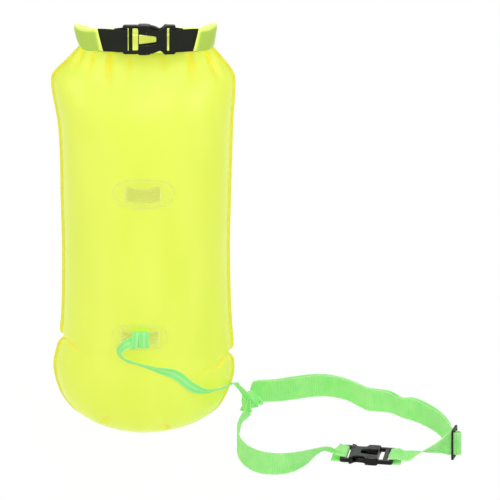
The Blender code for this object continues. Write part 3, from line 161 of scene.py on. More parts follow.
def finish_with(piece: Piece, kind: str, **settings: Any) -> None:
    """Add a modifier and apply it.

    Args:
        piece: the piece to finish.
        kind: Blender's name of the modifier's type.
        **settings: the modifier's own settings.
    """
    pick(piece)
    modifier = piece.modifiers.new(kind.lower(), kind)
    for name, value in settings.items():
        setattr(modifier, name, value)
    bpy.ops.object.modifier_apply(modifier=modifier.name)


def face_outwards(piece: Piece, merge: float = 1e-6) -> None:
    """Merge doubled points, then turn every face outwards."""
    pick(piece)
    bpy.ops.object.mode_set(mode="EDIT")
    bpy.ops.mesh.select_all(action="SELECT")
    bpy.ops.mesh.remove_doubles(threshold=merge)
    bpy.ops.mesh.normals_make_consistent(inside=False)
    bpy.ops.object.mode_set(mode="OBJECT")


def formed_sheet(name: str, points: Array, measures: tuple[float, float]) -> Piece:
    """A grid primitive whose points are moved to their places, with its UV map in metres.

    Args:
        name: the piece's name.
        points: places in rows and columns; the last axis holds x, y and z.
        measures: the sheet's real length along its columns and along its rows, for the UV map.

    Returns:
        The new piece, shaded smooth.
    """
    rows, columns = points.shape[:2]
    deselect()
    bpy.ops.mesh.primitive_grid_add(x_subdivisions=columns - 1, y_subdivisions=rows - 1, size=2.0)
    piece = bpy.context.active_object
    piece.name = name
    piece.data.name = name
    shares = (places_of(piece)[:, :2] + 1) / 2
    across = np.rint(shares[:, 0] * (columns - 1)).astype(int)
    up = np.rint(shares[:, 1] * (rows - 1)).astype(int)
    set_places(piece, points[up, across])
    chart = piece.data.uv_layers[0].data
    flat = np.empty(len(chart) * 2)
    chart.foreach_get("uv", flat)
    chart.foreach_set("uv", (flat.reshape(-1, 2) * np.array(measures)).ravel())
    piece.data.shade_smooth()
    return piece


def mark(piece: Piece, name: str, values: Array) -> None:
    """Store a number at each point of a formed sheet, for its material.

    Args:
        piece: a sheet from formed_sheet, before any modifier.
        name: the attribute's name.
        values: the numbers in rows and columns.
    """
    chart = piece.data.attributes.new(name, "FLOAT", "POINT")
    chart.data.foreach_set("value", np.ascontiguousarray(values, dtype=float).ravel())


def plate(name: str, outline: Pairs, low: float, high: float) -> Piece:
    """A flat shape with a thickness, from a filled circle whose points are moved to the outline.

    Args:
        name: the piece's name.
        outline: corners in order.
        low: its lower face.
        high: its upper face.

    Returns:
        The new piece.
    """
    deselect()
    bpy.ops.mesh.primitive_circle_add(vertices=len(outline), fill_type="NGON")
    piece = bpy.context.active_object
    piece.name = name
    piece.data.name = name
    set_places(piece, np.array([(x, y, low) for x, y in outline]))
    bpy.ops.object.mode_set(mode="EDIT")
    bpy.ops.mesh.select_all(action="SELECT")
    bpy.ops.mesh.extrude_region_move(TRANSFORM_OT_translate={"value": (0.0, 0.0, high - low)})
    bpy.ops.object.mode_set(mode="OBJECT")
    face_outwards(piece)
    return piece


def join_or_cut(piece: Piece, tool: Piece, operation: str = "DIFFERENCE") -> None:
    """Apply a Boolean with another piece, which is then removed."""
    finish_with(piece, "BOOLEAN", object=tool, operation=operation, solver="EXACT")
    bpy.data.objects.remove(tool, do_unlink=True)


def soften_edges(piece: Piece, width: float, segments: int = 2, angle: float = 38.0) -> None:
    """Round the sharp edges as a mould does, and shade by angle."""
    sharp = {"limit_method": "ANGLE", "angle_limit": math.radians(angle)}
    finish_with(piece, "BEVEL", width=width, segments=segments, **sharp)
    bpy.ops.object.shade_smooth_by_angle(angle=math.radians(35.0))


def fillet(outline: Pairs, radius: float, steps: int = 4, sharp_x: float | None = None) -> Outline:
    """An outline with its corners rounded.

    Args:
        outline: corners in order, of a closed shape.
        radius: how far from a corner its curve starts, at most a third of the side.
        steps: points on each curve.
        sharp_x: corners at this x stay, and so do those that hardly turn.

    Returns:
        The rounded outline.
    """
    made: Outline = []
    least_turn = 20.0
    for index in range(len(outline)):
        corner = Vector(outline[index])
        to_before = Vector(outline[index - 1]) - corner
        to_after = Vector(outline[(index + 1) % len(outline)]) - corner
        turn = 180.0 - math.degrees(to_before.angle(to_after, 0.0))
        if turn < least_turn or (sharp_x is not None and abs(corner.x - sharp_x) < 1e-6):
            made.append((corner.x, corner.y))
            continue
        reach = min(radius, to_before.length / 3, to_after.length / 3)
        start = corner + to_before.normalized() * reach
        end = corner + to_after.normalized() * reach
        for step in range(steps + 1):
            t = step / steps
            spot = start * (1 - t) ** 2 + corner * 2 * t * (1 - t) + end * t**2
            made.append((spot.x, spot.y))
    return made


def rectangle(x_low: float, x_high: float, y_low: float, y_high: float) -> Outline:
    """Corners of a rectangle, in order."""
    return [(x_low, y_low), (x_high, y_low), (x_high, y_high), (x_low, y_high)]


def mirrored(half: Pairs) -> Outline:
    """A closed outline from its half at +y, listed along x."""
    return list(half) + [(x, -y) for x, y in reversed(half) if y > 0.0]


def lathe(name: str, profile: Pairs, segments: int = 40) -> Piece:
    """A turned piece from a sheet that is wrapped round the z axis and closed.

    Args:
        name: the piece's name.
        profile: radius and height of each ring, in order.
        segments: faces round the axis.

    Returns:
        The new piece, about its own z axis.
    """
    turns = np.linspace(0.0, FULL_TURN, segments + 1)
    ring = np.stack([np.cos(turns), np.sin(turns), np.zeros(segments + 1)], axis=-1)
    rows = [ring * radius + UP * height for radius, height in profile]
    piece = formed_sheet(name, np.stack(rows), (0.05, 0.02))
    face_outwards(piece, 1e-5)
    bpy.ops.object.shade_smooth_by_angle(angle=math.radians(40.0))
    return piece


def joined(pieces: Sequence[Piece]) -> Piece:
    """Join the pieces into the first of them."""
    deselect()
    for piece in pieces:
        piece.select_set(True)
    bpy.context.view_layer.objects.active = pieces[0]
    bpy.ops.object.join()
    return pieces[0]


def tube(name: str, line: Array, radius: float) -> Piece:
    """A round bead along a line, closed when the line ends where it began.

    Args:
        name: the piece's name.
        line: points in order.
        radius: of the bead.

    Returns:
        The new piece.
    """
    heading = unit(np.gradient(line, axis=0))
    if np.linalg.norm(line[0] - line[-1]) < 1e-6:
        heading[0] = heading[-1] = unit(line[1] - line[-2])
    side = unit(np.cross(heading, np.array([0.0, 1.0, 0.0]) + 0.01))
    up = np.cross(side, heading)
    turn = np.linspace(0.0, FULL_TURN, 9)
    ring = np.cos(turn)[None, :, None] * side[:, None] + np.sin(turn)[None, :, None] * up[:, None]
    piece = formed_sheet(name, line[:, None] + ring * radius, (0.01, 0.1))
    face_outwards(piece)
    piece.data.shade_smooth()
    return piece


def run_of(points: Array) -> Array:
    """How far along a line each of its points is."""
    return np.concatenate([[0.0], np.linalg.norm(np.diff(points, axis=0), axis=1).cumsum()])


def left_of(points: Array) -> Array:
    """The level way to the left of a line, at each of its points."""
    heading = unit(np.gradient(points * LEVEL, axis=0))
    return np.stack([-heading[:, 1], heading[:, 0], np.zeros(len(heading))], axis=-1)


def eased(wave: Array, power: float) -> Array:
    """A wave made squarer by a power below one, its sign kept."""
    return np.sign(wave) * np.abs(wave) ** power


def curve_through(rows: Sequence[Any], steps: int) -> Array:
    """Rows of numbers along a Catmull-Rom curve through the given rows.

    Args:
        rows: the known rows.
        steps: points from each row to the next.

    Returns:
        The denser rows.
    """
    known = np.asarray(rows, dtype=float)
    longer = np.vstack([2 * known[0] - known[1], known, 2 * known[-1] - known[-2]])[:, None]
    a, b, c, d = longer[:-3], longer[1:-2], longer[2:-1], longer[3:]
    t = (np.arange(steps) / steps)[:, None]
    bend = a - 2.5 * b + 2 * c - d / 2
    twist = 1.5 * (b - c) + (d - a) / 2
    found = b + (c - a) * t / 2 + bend * t**2 + twist * t**3
    return np.vstack([found.reshape(-1, known.shape[1]), known[-1]])


def unit(vectors: Array) -> Array:
    """Vectors of length one."""
    return vectors / np.maximum(np.linalg.norm(vectors, axis=-1, keepdims=True), 1e-12)


def blend_share(low: float, high: float, at: Array | float) -> Any:
    """A smooth step from 0 at low to 1 at high."""
    t = np.clip((np.asarray(at, dtype=float) - low) / (high - low), 0.0, 1.0)
    return t * t * (3 - 2 * t)


@dataclass(frozen=True)
class Ribbon:
    """A strap's middle line with half its width, and the lift of its edges where it is folded.

    All three arrays have a row for each station.
    """

    middle: Array
    half: Array
    lift: Array

    @staticmethod
    def flat(middle: Any, half: Any) -> "Ribbon":
        """A flat strap; one half width may serve every station."""
        middle = np.array(middle, dtype=float)
        half = np.broadcast_to(np.array(half, dtype=float), middle.shape).copy()
        return Ribbon(middle, half, np.zeros_like(middle))

    def length(self) -> float:
        """Length along the middle line."""
        return float(run_of(self.middle)[-1])

    def even(self, step: float) -> "Ribbon":
        """The same strap with stations an even distance apart.

        Args:
            step: the distance.

        Returns:
            The new strap.
        """
        run = run_of(self.middle)
        at = np.linspace(0.0, run[-1], max(int(run[-1] / step), 4) + 1)
        parts = []
        for rows in (self.middle, self.half, self.lift):
            parts.append(np.stack([np.interp(at, run, column) for column in rows.T], axis=-1))
        return Ribbon(*parts)

    def rounded(self, passes: int) -> "Ribbon":
        """The same strap with its bends eased, and its ends kept."""
        parts = [self.middle.copy(), self.half.copy(), self.lift.copy()]
        for _ in range(passes):
            for rows in parts:
                rows[1:-1] = rows[1:-1] / 2 + (rows[:-2] + rows[2:]) / 4
        wide = np.linalg.norm(self.half, axis=1, keepdims=True)
        parts[1] = unit(parts[1]) * wide
        return Ribbon(*parts)

    def then(self, other: "Ribbon") -> "Ribbon":
        """This strap and the one that follows it, as one."""
        pairs = ((self.middle, other.middle), (self.half, other.half), (self.lift, other.lift))
        return Ribbon(*(np.concatenate(pair) for pair in pairs))

    def part(self, low: float, high: float) -> "Ribbon":
        """The stations between two shares of their count."""
        last = len(self.middle) - 1
        keep = slice(round(low * last), round(high * last) + 1)
        return Ribbon(self.middle[keep], self.half[keep], self.lift[keep])

    def woven(self, name: str, thickness: float, columns: int = 8, cup: float = 0.0) -> Piece:
        """The strap as a closed piece of webbing with rounded selvedges.

        Args:
            name: the piece's name.
            thickness: of the webbing.
            columns: faces across.
            cup: how far the strap curls across, in radians to each edge.

        Returns:
            The new piece. Its UV map runs along and across in metres.
        """
        shares = np.linspace(-1.0, 1.0, columns + 1)[:, None]
        wide = np.linalg.norm(self.half, axis=1)
        middle, half, lift = self.middle[:, None], self.half[:, None], self.lift[:, None]
        if cup:
            out = unit(np.cross(unit(np.gradient(self.middle, axis=0)), self.half))[:, None]
            angle, reach = shares * cup, wide[:, None, None] / cup
            points = middle + np.sin(angle) * reach * unit(half) - (1 - np.cos(angle)) * reach * out
        else:
            bow = np.sqrt(shares**2 + 0.02) - math.sqrt(0.02)
            points = middle + shares * half + bow / bow[-1] * lift
        piece = formed_sheet(name, points, (float(wide.mean() * 2), self.length()))
        selvedge = thickness * 0.35
        finish_with(piece, "SOLIDIFY", thickness=thickness, offset=0.0)
        soften_edges(piece, selvedge, 2, 60.0)
        piece.data.shade_smooth()
        return piece


def frame_of(origin: Sequence[float], along: Sequence[float], out: Sequence[float]) -> Matrix:
    """A frame with its own x along a piece and z out of its face."""
    x_axis = Vector(along).normalized()
    z_axis = Vector(out).normalized()
    turned = Matrix((x_axis, z_axis.cross(x_axis), z_axis)).transposed().to_4x4()
    return Matrix.Translation(Vector(origin)) @ turned


# Finishes


def put(tree: Tree, node: bpy.types.Node, inputs: dict[Any, Any]) -> None:
    """Link each input to its socket, or set it to its colour or number.

    Args:
        tree: the material's nodes.
        node: one of them.
        inputs: what each input gets, by name or number.
    """
    for name, value in inputs.items():
        if isinstance(value, bpy.types.NodeSocket):
            tree.links.new(value, node.inputs[name])
        else:
            node.inputs[name].default_value = linear(value) if isinstance(value, Hue) else value


def add_node(tree: Tree, kind: str, out: int | str, inputs: dict[Any, Any], **settings: Any) -> Socket:
    """Add a node, set it up and link it.

    Args:
        tree: the nodes that it joins.
        kind: the node's type, without Blender's prefix.
        out: the output that is wanted, by name or number.
        inputs: a colour, a number or a socket for each input, by name or number.
        **settings: the node's own properties.

    Returns:
        That output.
    """
    node = tree.nodes.new("ShaderNode" + kind)
    for name, value in settings.items():
        setattr(node, name, value)
    put(tree, node, inputs)
    return node.outputs[out]


def new_material(name: str) -> tuple[bpy.types.Material, Tree, bpy.types.Node]:
    """A material, its node tree and its Principled shader."""
    made = bpy.data.materials.new(name)
    made.use_nodes = True
    return made, made.node_tree, made.node_tree.nodes["Principled BSDF"]


@dataclass(frozen=True)
class FilmFinish:
    """Calendered TPU film with a fluorescent pigment: satin and fine creases; its glow stands for the
    fluorescence and is painted light that lifts its shade, and its fold mark is painted shade on the body
    and painted highlight on the roll.
    """

    name: str
    plain: Hue
    deep: Hue
    # fold: the colour of the fold mark, painted shade on the body and painted highlight on the roll
    fold: Hue
    roughness: float = 0.36
    # glow: painted light that stands for the fluorescence and brightens the film in shade too
    glow: float = 0.24
    grain: float = 0.0026  # spacing of the film's fine creases
    patches: float = 0.09  # size of its soft uneven tone
    # marked: whether the fold mark of painted shade and highlight is used
    marked: bool = True

    def material(self) -> bpy.types.Material:
        """Build the material."""
        made, tree, shader = new_material(self.name)
        spot = add_node(tree, "TexCoord", "Object", {})
        drawn = add_node(tree, "Mapping", 0, {"Vector": spot, "Scale": (1.0, 1.0, 0.25)})
        uneven = {"Vector": drawn, "Scale": 2 / self.patches, "Detail": 1.0}
        tone = add_node(tree, "TexNoise", "Fac", uneven)
        colour = add_node(tree, "Mix", 2, {0: tone, 6: self.deep, 7: self.plain}, data_type="RGBA")
        if self.marked:
            # the fold mark: painted shade in the body's pleats and along its weld line, where the doubled
            # film is deeper too; painted highlight on the roll
            fold = add_node(tree, "Attribute", "Fac", {}, attribute_name="fold")
            colour = add_node(tree, "Mix", 2, {0: fold, 6: colour, 7: self.fold}, data_type="RGBA")
        creases = {"Vector": spot, "Scale": 1 / self.grain, "Detail": 3.0}
        fine = add_node(tree, "TexNoise", "Fac", creases)
        hollows = {"Vector": spot, "Scale": 6 / self.patches, "Detail": 2.0}
        broad = add_node(tree, "TexNoise", "Fac", hollows)
        low = add_node(tree, "Bump", "Normal", {"Strength": 0.25, "Distance": 0.0006, "Height": broad})
        relief = {"Strength": 0.12, "Distance": 0.0002, "Height": fine, "Normal": low}
        satin = {0: broad, 1: 0.12, 2: self.roughness - 0.06}
        surface = {
            "Base Color": colour,
            "Roughness": add_node(tree, "Math", 0, satin, operation="MULTIPLY_ADD"),
            "Normal": add_node(tree, "Bump", "Normal", relief),
            "IOR": 1.48,
            "Coat Weight": 0.5,
            "Coat Roughness": 0.34,
            # the glow is painted light in the film's own colour, so the fold mark glows too
            "Emission Color": colour,
            "Emission Strength": self.glow,
        }
        put(tree, shader, surface)
        return made


@dataclass(frozen=True)
class WeldFinish:
    """Film pressed by a knurled welding tool: harder, deeper in colour, with small diamonds."""

    name: str = "hf_welded_tpu_rim"
    pitch: float = 0.00256  # of the knurl

    def material(self) -> bpy.types.Material:
        """Build the material."""
        made, tree, shader = new_material(self.name)
        chart = add_node(tree, "TexCoord", "UV", {})
        quarter = (0.0, 0.0, math.pi / 2)
        turned = add_node(tree, "Mapping", 0, {"Vector": chart, "Rotation": quarter})
        ridges = []
        for where in (chart, turned):
            inputs = {"Vector": where, "Scale": BAND_SCALE / self.pitch}
            ridges.append(add_node(tree, "TexWave", "Fac", inputs, bands_direction="DIAGONAL"))
        knurl = add_node(tree, "Math", 0, {0: ridges[0], 1: ridges[1]}, operation="MULTIPLY")
        tones = {0: knurl, 6: Hue.WELD_DEEP, 7: Hue.WELD}
        relief = {"Strength": 0.3, "Distance": 0.0002, "Height": knurl}
        surface = {
            "Base Color": add_node(tree, "Mix", 2, tones, data_type="RGBA"),
            "Normal": add_node(tree, "Bump", "Normal", relief),
            "Roughness": 0.32,
            # a faint glow: painted light that lifts the weld's shade
            "Emission Color": Hue.WELD,
            "Emission Strength": 0.08,
        }
        put(tree, shader, surface)
        return made


@dataclass(frozen=True)
class WebbingFinish:
    """Woven polyester webbing: ribs across it, warp threads along it, tighter pale selvedges, painted
    shade in the rib grooves, and a glow that is painted light lifting its shade.
    """

    name: str
    plain: Hue
    # deep: the colour of the painted shade in the rib grooves
    deep: Hue
    pale: Hue
    width: float
    rib: float = 0.0026  # a real rib is about 2 mm; drawn a little coarser so that it shows
    thread: float = 0.0012
    relief: float = 0.00045
    # glow: painted light that lifts the webbing's shade
    glow: float = 0.16
    stripe: float = 0.0  # half the width of a pale stripe along the middle
    roughness: float = 0.62
    sheen: float = 0.10
    specular: float = 0.4
    selvedge: tuple[float, float] = (0.0022, 0.0008)  # in from the edge: where it starts, where it is full

    def material(self) -> bpy.types.Material:
        """Build the material."""
        made, tree, shader = new_material(self.name)
        chart = add_node(tree, "TexCoord", "UV", {})
        worn = {"Scale": BAND_SCALE / self.rib, "Distortion": 0.4, "Detail Scale": 40.0}
        ribs = add_node(tree, "TexWave", "Fac", {"Vector": chart, **worn}, bands_direction="Y")
        warp = {"Vector": chart, "Scale": BAND_SCALE / self.thread}
        threads = add_node(tree, "TexWave", "Fac", warp, bands_direction="X")
        weave = add_node(tree, "Math", 0, {0: threads, 1: 0.25, 2: ribs}, operation="MULTIPLY_ADD")
        faded = {"Vector": add_node(tree, "TexCoord", "Object", {}), "Scale": 60.0, "Detail": 2.0}
        tone = add_node(tree, "TexNoise", "Fac", faded)
        shade = add_node(tree, "Math", 0, {0: weave, 1: 0.55, 2: tone}, operation="MULTIPLY_ADD")
        shade = add_node(tree, "Math", 0, {0: shade, 1: 0.35}, operation="SUBTRACT")
        # painted shade: the deep colour goes in the rib grooves, mixed with a random tone
        colour = add_node(tree, "Mix", 2, {0: shade, 6: self.deep, 7: self.plain}, data_type="RGBA")
        across = add_node(tree, "SeparateXYZ", 0, {0: chart})
        half = self.width / 2
        aside = add_node(tree, "Math", 0, {0: across, 1: half}, operation="SUBTRACT")
        from_middle = add_node(tree, "Math", 0, {0: aside}, operation="ABSOLUTE")
        start, full = self.selvedge
        lines = [(half - start, half - full, 0.75)]
        if self.stripe:
            lines.append((self.stripe, self.stripe * 0.6, 0.8))
        for start, full, share in lines:
            fade = {0: from_middle, 1: start, 2: full, 3: 0.0, 4: share}
            pale = {0: add_node(tree, "MapRange", 0, fade), 6: colour, 7: self.pale}
            colour = add_node(tree, "Mix", 2, pale, data_type="RGBA")
        relief = {"Strength": 0.8, "Distance": self.relief, "Height": weave}
        surface = {
            "Base Color": colour,
            "Normal": add_node(tree, "Bump", "Normal", relief),
            "Roughness": self.roughness,
            "Sheen Weight": self.sheen,
            "Specular IOR Level": self.specular,
            # the glow is painted light, in the plain colour
            "Emission Color": self.plain,
            "Emission Strength": self.glow,
        }
        put(tree, shader, surface)
        return made


@dataclass(frozen=True)
class AcetalFinish:
    """Black acetal, injection moulded: semi-gloss with a fine spark-eroded grain."""

    name: str = "moulded_black_acetal"
    grain: float = 0.0007

    def material(self) -> bpy.types.Material:
        """Build the material."""
        made, tree, shader = new_material(self.name)
        spot = add_node(tree, "TexCoord", "Object", {})
        scuff = add_node(tree, "TexNoise", "Fac", {"Vector": spot, "Scale": 90.0, "Detail": 4.0})
        tones = {0: scuff, 6: Hue.BLACK_PLASTIC, 7: Hue.BLACK_PLASTIC_PALE}
        eroded = {"Vector": spot, "Scale": 1 / self.grain, "Detail": 2.0}
        fine = add_node(tree, "TexNoise", "Fac", eroded)
        relief = {"Strength": 0.15, "Distance": 0.0001, "Height": fine}
        gloss = {0: scuff, 1: 0.22, 2: 0.27}
        surface = {
            "Base Color": add_node(tree, "Mix", 2, tones, data_type="RGBA"),
            "Roughness": add_node(tree, "Math", 0, gloss, operation="MULTIPLY_ADD"),
            "Normal": add_node(tree, "Bump", "Normal", relief),
            "Specular IOR Level": 0.22,
        }
        put(tree, shader, surface)
        return made


@dataclass(frozen=True)
class VinylFinish:
    """Clear PVC welded over the film: glossy and half see-through, so the film tints it; its ripples carry
    a painted glint, and its glow is painted light.
    """

    name: str
    body: Hue = Hue.VINYL
    alpha: float = 0.09
    roughness: float = 0.16
    # glow: painted light, in the glint colour
    glow: float = 0.0

    def material(self) -> bpy.types.Material:
        """Build the material."""
        made, tree, shader = new_material(self.name)
        spot = add_node(tree, "TexCoord", "Object", {})
        ripple = add_node(tree, "TexNoise", "Fac", {"Vector": spot, "Scale": 160.0, "Detail": 2.0})
        # painted glint: the ripples' crests are paler
        tones = {0: ripple, 6: self.body, 7: Hue.VINYL_GLINT}
        relief = {"Strength": 0.25, "Distance": 0.0004, "Height": ripple}
        gloss = {0: ripple, 1: 0.1, 2: self.roughness}
        surface = {
            "Base Color": add_node(tree, "Mix", 2, tones, data_type="RGBA"),
            "Normal": add_node(tree, "Bump", "Normal", relief),
            "Roughness": add_node(tree, "Math", 0, gloss, operation="MULTIPLY_ADD"),
            "Alpha": self.alpha,
            "IOR": 1.53,
            "Coat Weight": 0.6,
            # the glow is painted light that lifts the shade under and inside the vinyl
            "Emission Color": Hue.VINYL_GLINT,
            "Emission Strength": self.glow,
        }
        put(tree, shader, surface)
        return made


FILM = FilmFinish("fluorescent_tpu_film", Hue.FILM, Hue.FILM_DEEP, Hue.FILM_WELD_TINT_AND_SHADE)
# the roll glows strongly: painted light that lifts its shade, most of all between the buckle and the roll
ROLL_FILM = FilmFinish("rolled_tpu_film", Hue.ROLL, Hue.ROLL, Hue.ROLL_PAINTED_HIGHLIGHT, roughness=0.34, glow=0.55)
LINER_TONES = (Hue.LINER, Hue.LINER, Hue.LINER)
LINER_FILM = FilmFinish("liner_film", *LINER_TONES, roughness=0.5, glow=0.0, marked=False)
WELD = WeldFinish()
BELT_WEB = WebbingFinish("ribbed_polyester_webbing", Hue.BELT, Hue.BELT_GROOVE_SHADE, Hue.BELT_PALE, 0.037)
TAPE_WEAVE = {"rib": 0.0018, "relief": 0.00008, "stripe": 0.0022}
TAPE_TONES = (Hue.TETHER, Hue.TETHER_GROOVE_SHADE, Hue.TETHER_PALE)
TETHER_WEB = WebbingFinish("soft_polyester_tape", *TAPE_TONES, 0.015, **TAPE_WEAVE)
BLACK_WEAVE = {"rib": 0.0016, "relief": 0.00012, "roughness": 0.45, "specular": 0.18}
BLACK_TONES = (Hue.BLACK_WEB_PALE, Hue.BLACK_WEB, Hue.BLACK_WEB_PALE)
BLACK_WEB = WebbingFinish("black_nylon_webbing", *BLACK_TONES, 0.037, **BLACK_WEAVE, glow=0.0, sheen=0.0)
ACETAL = AcetalFinish()
# the glows are painted light: on the patch and bridge they lift the shade, on the edge beads and lines
# they are painted highlights
VINYL = VinylFinish("clear_pvc_patch", glow=0.12)
EDGE_HIGHLIGHT_VINYL = VinylFinish("welded_pvc_edge_highlight", Hue.VINYL_GLINT, 0.20, 0.2, 0.15)
LINE_HIGHLIGHT_VINYL = VinylFinish("pressed_pvc_line_highlight", Hue.VINYL_GLINT, 0.36, 0.2, 0.30)
BRIDGE_VINYL = VinylFinish("clear_pvc_bridge", Hue.VINYL, 0.11, 0.16, 0.10)
VALVE_VINYL = VinylFinish("frosted_pvc_valve", Hue.VINYL, 0.85, 0.25)


class Wardrobe:
    """Makes each material once and puts it on pieces."""

    def __init__(self) -> None:
        """Start with no material made."""
        self.made: dict[str, bpy.types.Material] = {}

    def dress(self, piece: Piece, finish: Any, body: str, slot: str, *nodes: str) -> Piece:
        """Give a piece its material, its body and the nodes it stands for.

        Args:
            piece: the finished mesh.
            finish: one of the finishes above.
            body: the CAD body that it rides on, or an empty word for a piece that is blended.
            slot: the record's material slot; not used.
            *nodes: CAD nodes that it replaces.

        Returns:
            The same piece.
        """
        if finish.name not in self.made:
            self.made[finish.name] = finish.material()
        piece.data.materials.clear()
        piece.data.materials.append(self.made[finish.name])
        if body:
            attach(piece, body)
        if nodes:
            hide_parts(*nodes)
        LOG.info("%s: %d faces", piece.name, len(piece.data.polygons))
        return piece


# Body


@dataclass(frozen=True)
class SmoothTable:
    """Rows of numbers, the first of which says where they hold, with a smooth curve between."""

    rows: tuple[tuple[float, ...], ...]

    def at(self, where: Array) -> Array:
        """The values at some places.

        Args:
            where: places along the first column.

        Returns:
            A row of values for each place.
        """
        known = np.array(self.rows)
        spots, values = known[:, 0], known[:, 1:]
        last = len(spots) - 1
        ahead = np.minimum(np.arange(last + 1) + 1, last)
        behind = np.maximum(np.arange(last + 1) - 1, 0)
        slopes = (values[ahead] - values[behind]) / (spots[ahead] - spots[behind])[:, None]
        index = np.clip(np.searchsorted(spots, where) - 1, 0, last - 1)
        span = (spots[index + 1] - spots[index])[..., None]
        t = np.clip((where - spots[index])[..., None] / span, 0.0, 1.0)
        return (
            values[index] * (2 * t**3 - 3 * t**2 + 1)
            + slopes[index] * span * (t**3 - 2 * t**2 + t)
            + values[index + 1] * (3 * t**2 - 2 * t**3)
            + slopes[index + 1] * span * (t**3 - t**2)
        )


BODY_TABLE = SmoothTable(
    (
        (0.000, 0.34, 0.31, 0.26),
        (0.010, 0.47, 0.50, 0.40),
        (0.025, 0.63, 0.66, 0.53),
        (0.051, 0.785, 0.805, 0.66),
        (0.090, 0.905, 0.905, 0.77),
        (0.140, 0.975, 0.980, 0.84),
        (0.175, 0.985, 0.985, 0.85),
        (0.225, 0.940, 0.978, 0.83),
        (0.300, 0.900, 0.955, 0.90),
        (0.470, 0.888, 0.938, 0.99),
        (0.600, 0.900, 0.950, 1.00),
        (0.735, 0.910, 0.966, 0.98),
        (0.805, 0.932, 0.977, 0.92),
        (0.860, 0.973, 0.992, 0.83),
        (0.905, 1.000, 1.000, 0.68),
        (0.930, 0.978, 0.982, 0.56),
        (0.960, 0.855, 0.895, 0.36),
        (1.000, 0.690, 0.750, 0.075),
    )
)


@dataclass(frozen=True)
class Pleat:
    """A fold in the film: where it starts and ends (x and z), half its width, and its depth."""

    start: tuple[float, float]
    end: tuple[float, float]
    width: float
    depth: float

    def press(self, x: Array, z: Array) -> Array:
        """How strongly the fold is felt at each point, from 0 to 1."""
        line = np.array(self.end) - np.array(self.start)
        run = float(np.linalg.norm(line))
        along_x, along_z = line / run
        share = ((x - self.start[0]) * along_x + (z - self.start[1]) * along_z) / run
        away = (x - self.start[0]) * along_z - (z - self.start[1]) * along_x
        wide = self.width * (0.7 + 0.9 * np.clip(share, 0.0, 1.0))
        fade = blend_share(-0.06, 0.05, share) * (1 - blend_share(0.25, 1.0, share))
        return np.exp(-((away / wide) ** 2)) * fade


PLEATS = (
    Pleat((-0.0970, 0.632), (-0.1290, 0.588), 0.0026, 0.0026),
    Pleat((-0.0850, 0.632), (-0.1060, 0.594), 0.0032, 0.0042),
    Pleat((-0.0700, 0.630), (-0.0860, 0.590), 0.0034, 0.0044),
    Pleat((-0.0480, 0.627), (-0.0560, 0.574), 0.0052, 0.0048),
    Pleat((-0.0200, 0.620), (-0.0230, 0.585), 0.0050, 0.0014),
    Pleat((0.0310, 0.622), (0.0330, 0.590), 0.0050, 0.0014),
    Pleat((0.0680, 0.629), (0.0780, 0.578), 0.0048, 0.0048),
    Pleat((0.0900, 0.631), (0.1200, 0.574), 0.0036, 0.0046),
    Pleat((0.0990, 0.632), (0.1310, 0.592), 0.0026, 0.0024),
    Pleat((-0.1190, 0.1515), (-0.0860, 0.1480), 0.0040, 0.0022),
    Pleat((0.1230, 0.1250), (0.1000, 0.1090), 0.0038, 0.0030),
    Pleat((0.1000, 0.1180), (0.0860, 0.1130), 0.0036, 0.0012),
    Pleat((-0.0640, 0.0270), (-0.0440, 0.0430), 0.0040, 0.0046),
    Pleat((0.0380, 0.0140), (0.0200, 0.0330), 0.0038, 0.0036),
)


